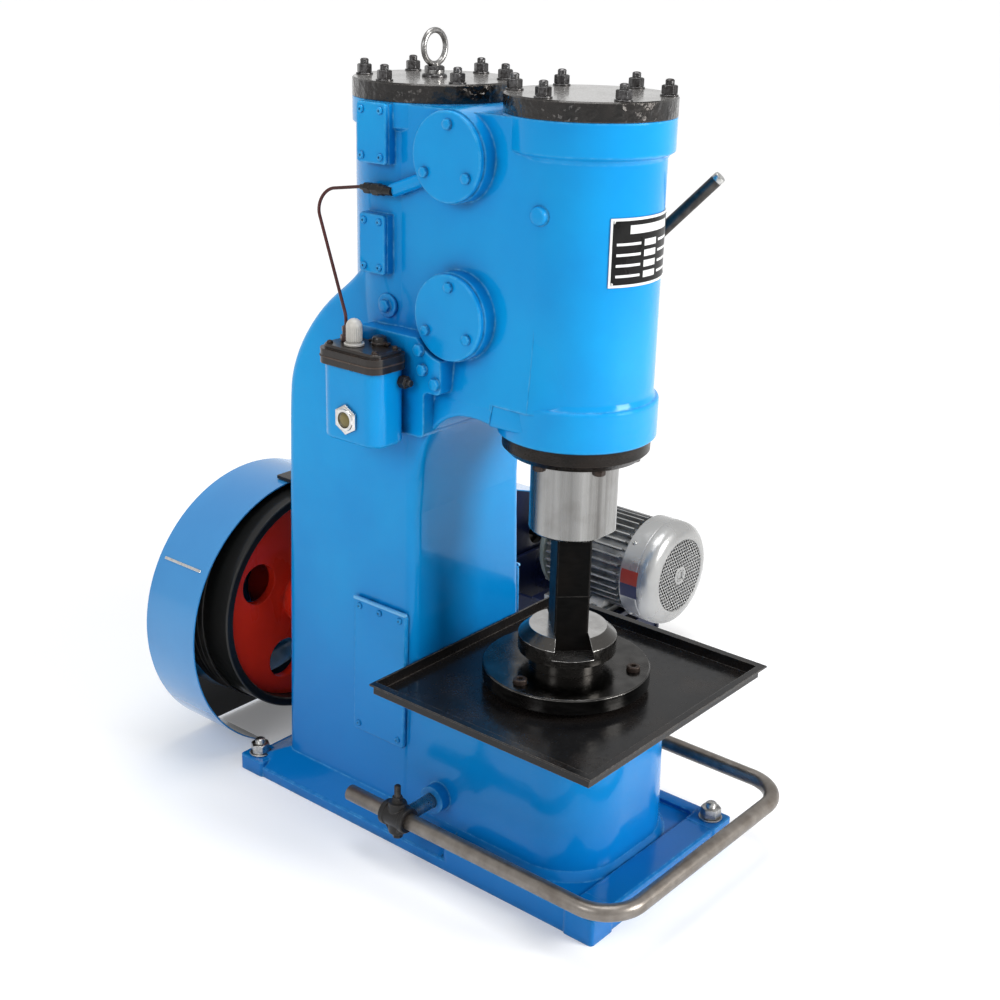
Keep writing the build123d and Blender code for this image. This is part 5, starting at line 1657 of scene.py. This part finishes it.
def makeClamps(values):
    # cast split clamps: a sleeve with end collars, bolt ears above and below, an arm to the cross shaft
    low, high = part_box("treadle_clamps")
    middle = (low.y + high.y) / 2
    long = high.y - low.y
    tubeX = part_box("treadle_bar")[1].x - values["tube"]
    inner = values["tube"] + 0.0002
    z = values["tubeZ"]
    head = values["head"]
    collar = values["collar"]
    chamfer = values["chamfer"]
    bm = bmesh.new()
    for side in (-1, 1):
        x = side * tubeX
        along = facing((x, low.y, z), (0, 1, 0))
        half = [(inner, 0.0005), (collar - chamfer, 0.0005), (collar, 0.002), (collar, 0.009),
                (values["sleeve"], 0.011)]
        profile = half + [(radius, long - deep) for radius, deep in reversed(half)]
        addSkin(bm, [roundRing(radius, height) for radius, height in profile], along, False, False)
        shaft = facing((x + side * 0.012, middle, values["pivotZ"]), (-side, 0, 0))
        reach = values["arm"]
        arm = values["armRadius"]
        addTurned(bm, [(arm - chamfer, 0), (arm, chamfer), (arm, reach - chamfer), (arm - chamfer, reach)],
                  shaft, 40)
        for way, end in ((1, high.z), (-1, low.z)):
            tall = abs(end - z) - 0.002
            ear = facing((x, middle, z), (0, 0, way))
            size = values["ear"]
            addTurned(bm, [(size, 0.010), (size, tall - 0.004), (size - 0.001, tall - 0.001),
                           (size - 0.003, tall)], ear, 40)
            seat = raised(ear, tall)
            addHexBolt(bm, seat, values["flats"], head)
            if way > 0:
                addThread(bm, seat, values["stud"], head - 0.001, head + values["out"], values["pitch"])
    piece = finishPiece(bm, "roundClamps", "treadle", "blackIronPaint")
    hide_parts("treadle_clamps")


def makeHandleGrip(values):
    root = Vector(values["root"])
    tip = Vector(values["tip"])
    way = tip - root
    long = way.length + values["past"]
    place = facing(root, way)
    radius = values["radius"]
    begin = long * values["start"]
    end = long - values["end"]
    bm = bmesh.new()
    addTurned(bm, [(radius - 0.001, begin), (radius, begin + 0.001), (radius, end),
                   (radius - 0.0003, end + 0.0003)], place, 32)
    finishPiece(bm, "handleRod", "handle", "gripSteel")
    bm = bmesh.new()
    addTurned(bm, [(radius - 0.0002, end), (radius, end + 0.0005), (radius, long - 0.0020),
                   (radius - 0.0009, long), (radius * 0.5, long + 0.0004)], place, 32)
    finishPiece(bm, "handleTip", "handle", "zincSteel")
    bm = bmesh.new()
    hub = facing(root + Vector((values["hubOut"], 0, 0)), (1, 0, 0))
    addHexBolt(bm, hub, values["hubFlats"], values["hubHead"])
    finishPiece(bm, "handleHubBolt", "handle", "studSteel")


def makeLinkNuts(values):
    bm = bmesh.new()
    end = facing((values["leverX"] - 0.001, values["pinY"], values["leverZ"]), (1, 0, 0))
    addHexBolt(bm, end, values["flats"], values["head"])
    finishPiece(bm, "leverPinNut", "valve", "studSteel")


makeTreadleTube(treadleTube)
makeClamps(clampShape)
makeHandleGrip(handleGrip)
makeLinkNuts(linkNuts)
print("treadle and levers dressed")


# Lifting eye collar

eyeCollar = {"radius": 0.0185, "high": 0.005, "flats": 0.026, "nut": 0.011}


def makeEyeCollar(values):
    middle = boxMiddle("eye_bolt")
    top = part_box("compressor_cover")[1].z
    radius = values["radius"]
    high = values["high"]
    bm = bmesh.new()
    place = facing((middle.x, middle.y, top), (0, 0, 1))
    addTurned(bm, [(radius, 0), (radius, high * 0.5), (radius - 0.001, high * 0.8), (radius - 0.003, high)],
              place, 40)
    addHexNut(bm, raised(place, high), values["flats"], values["nut"])
    finishPiece(bm, "eyeCollar", "frame", "studSteel")


makeEyeCollar(eyeCollar)


# Studio

bpy.context.scene.view_settings.view_transform = "Standard"
floor = layFloor(studioFloor["reach"])
floor.data.materials.append(makeFloor("paleFloorPaint", studioFloor))
setCamera(cameraView)
for lightName, lightValues in studioLights.items():
    addLight(lightName, lightValues)
paintSky(studioSky)
print("studio lit")
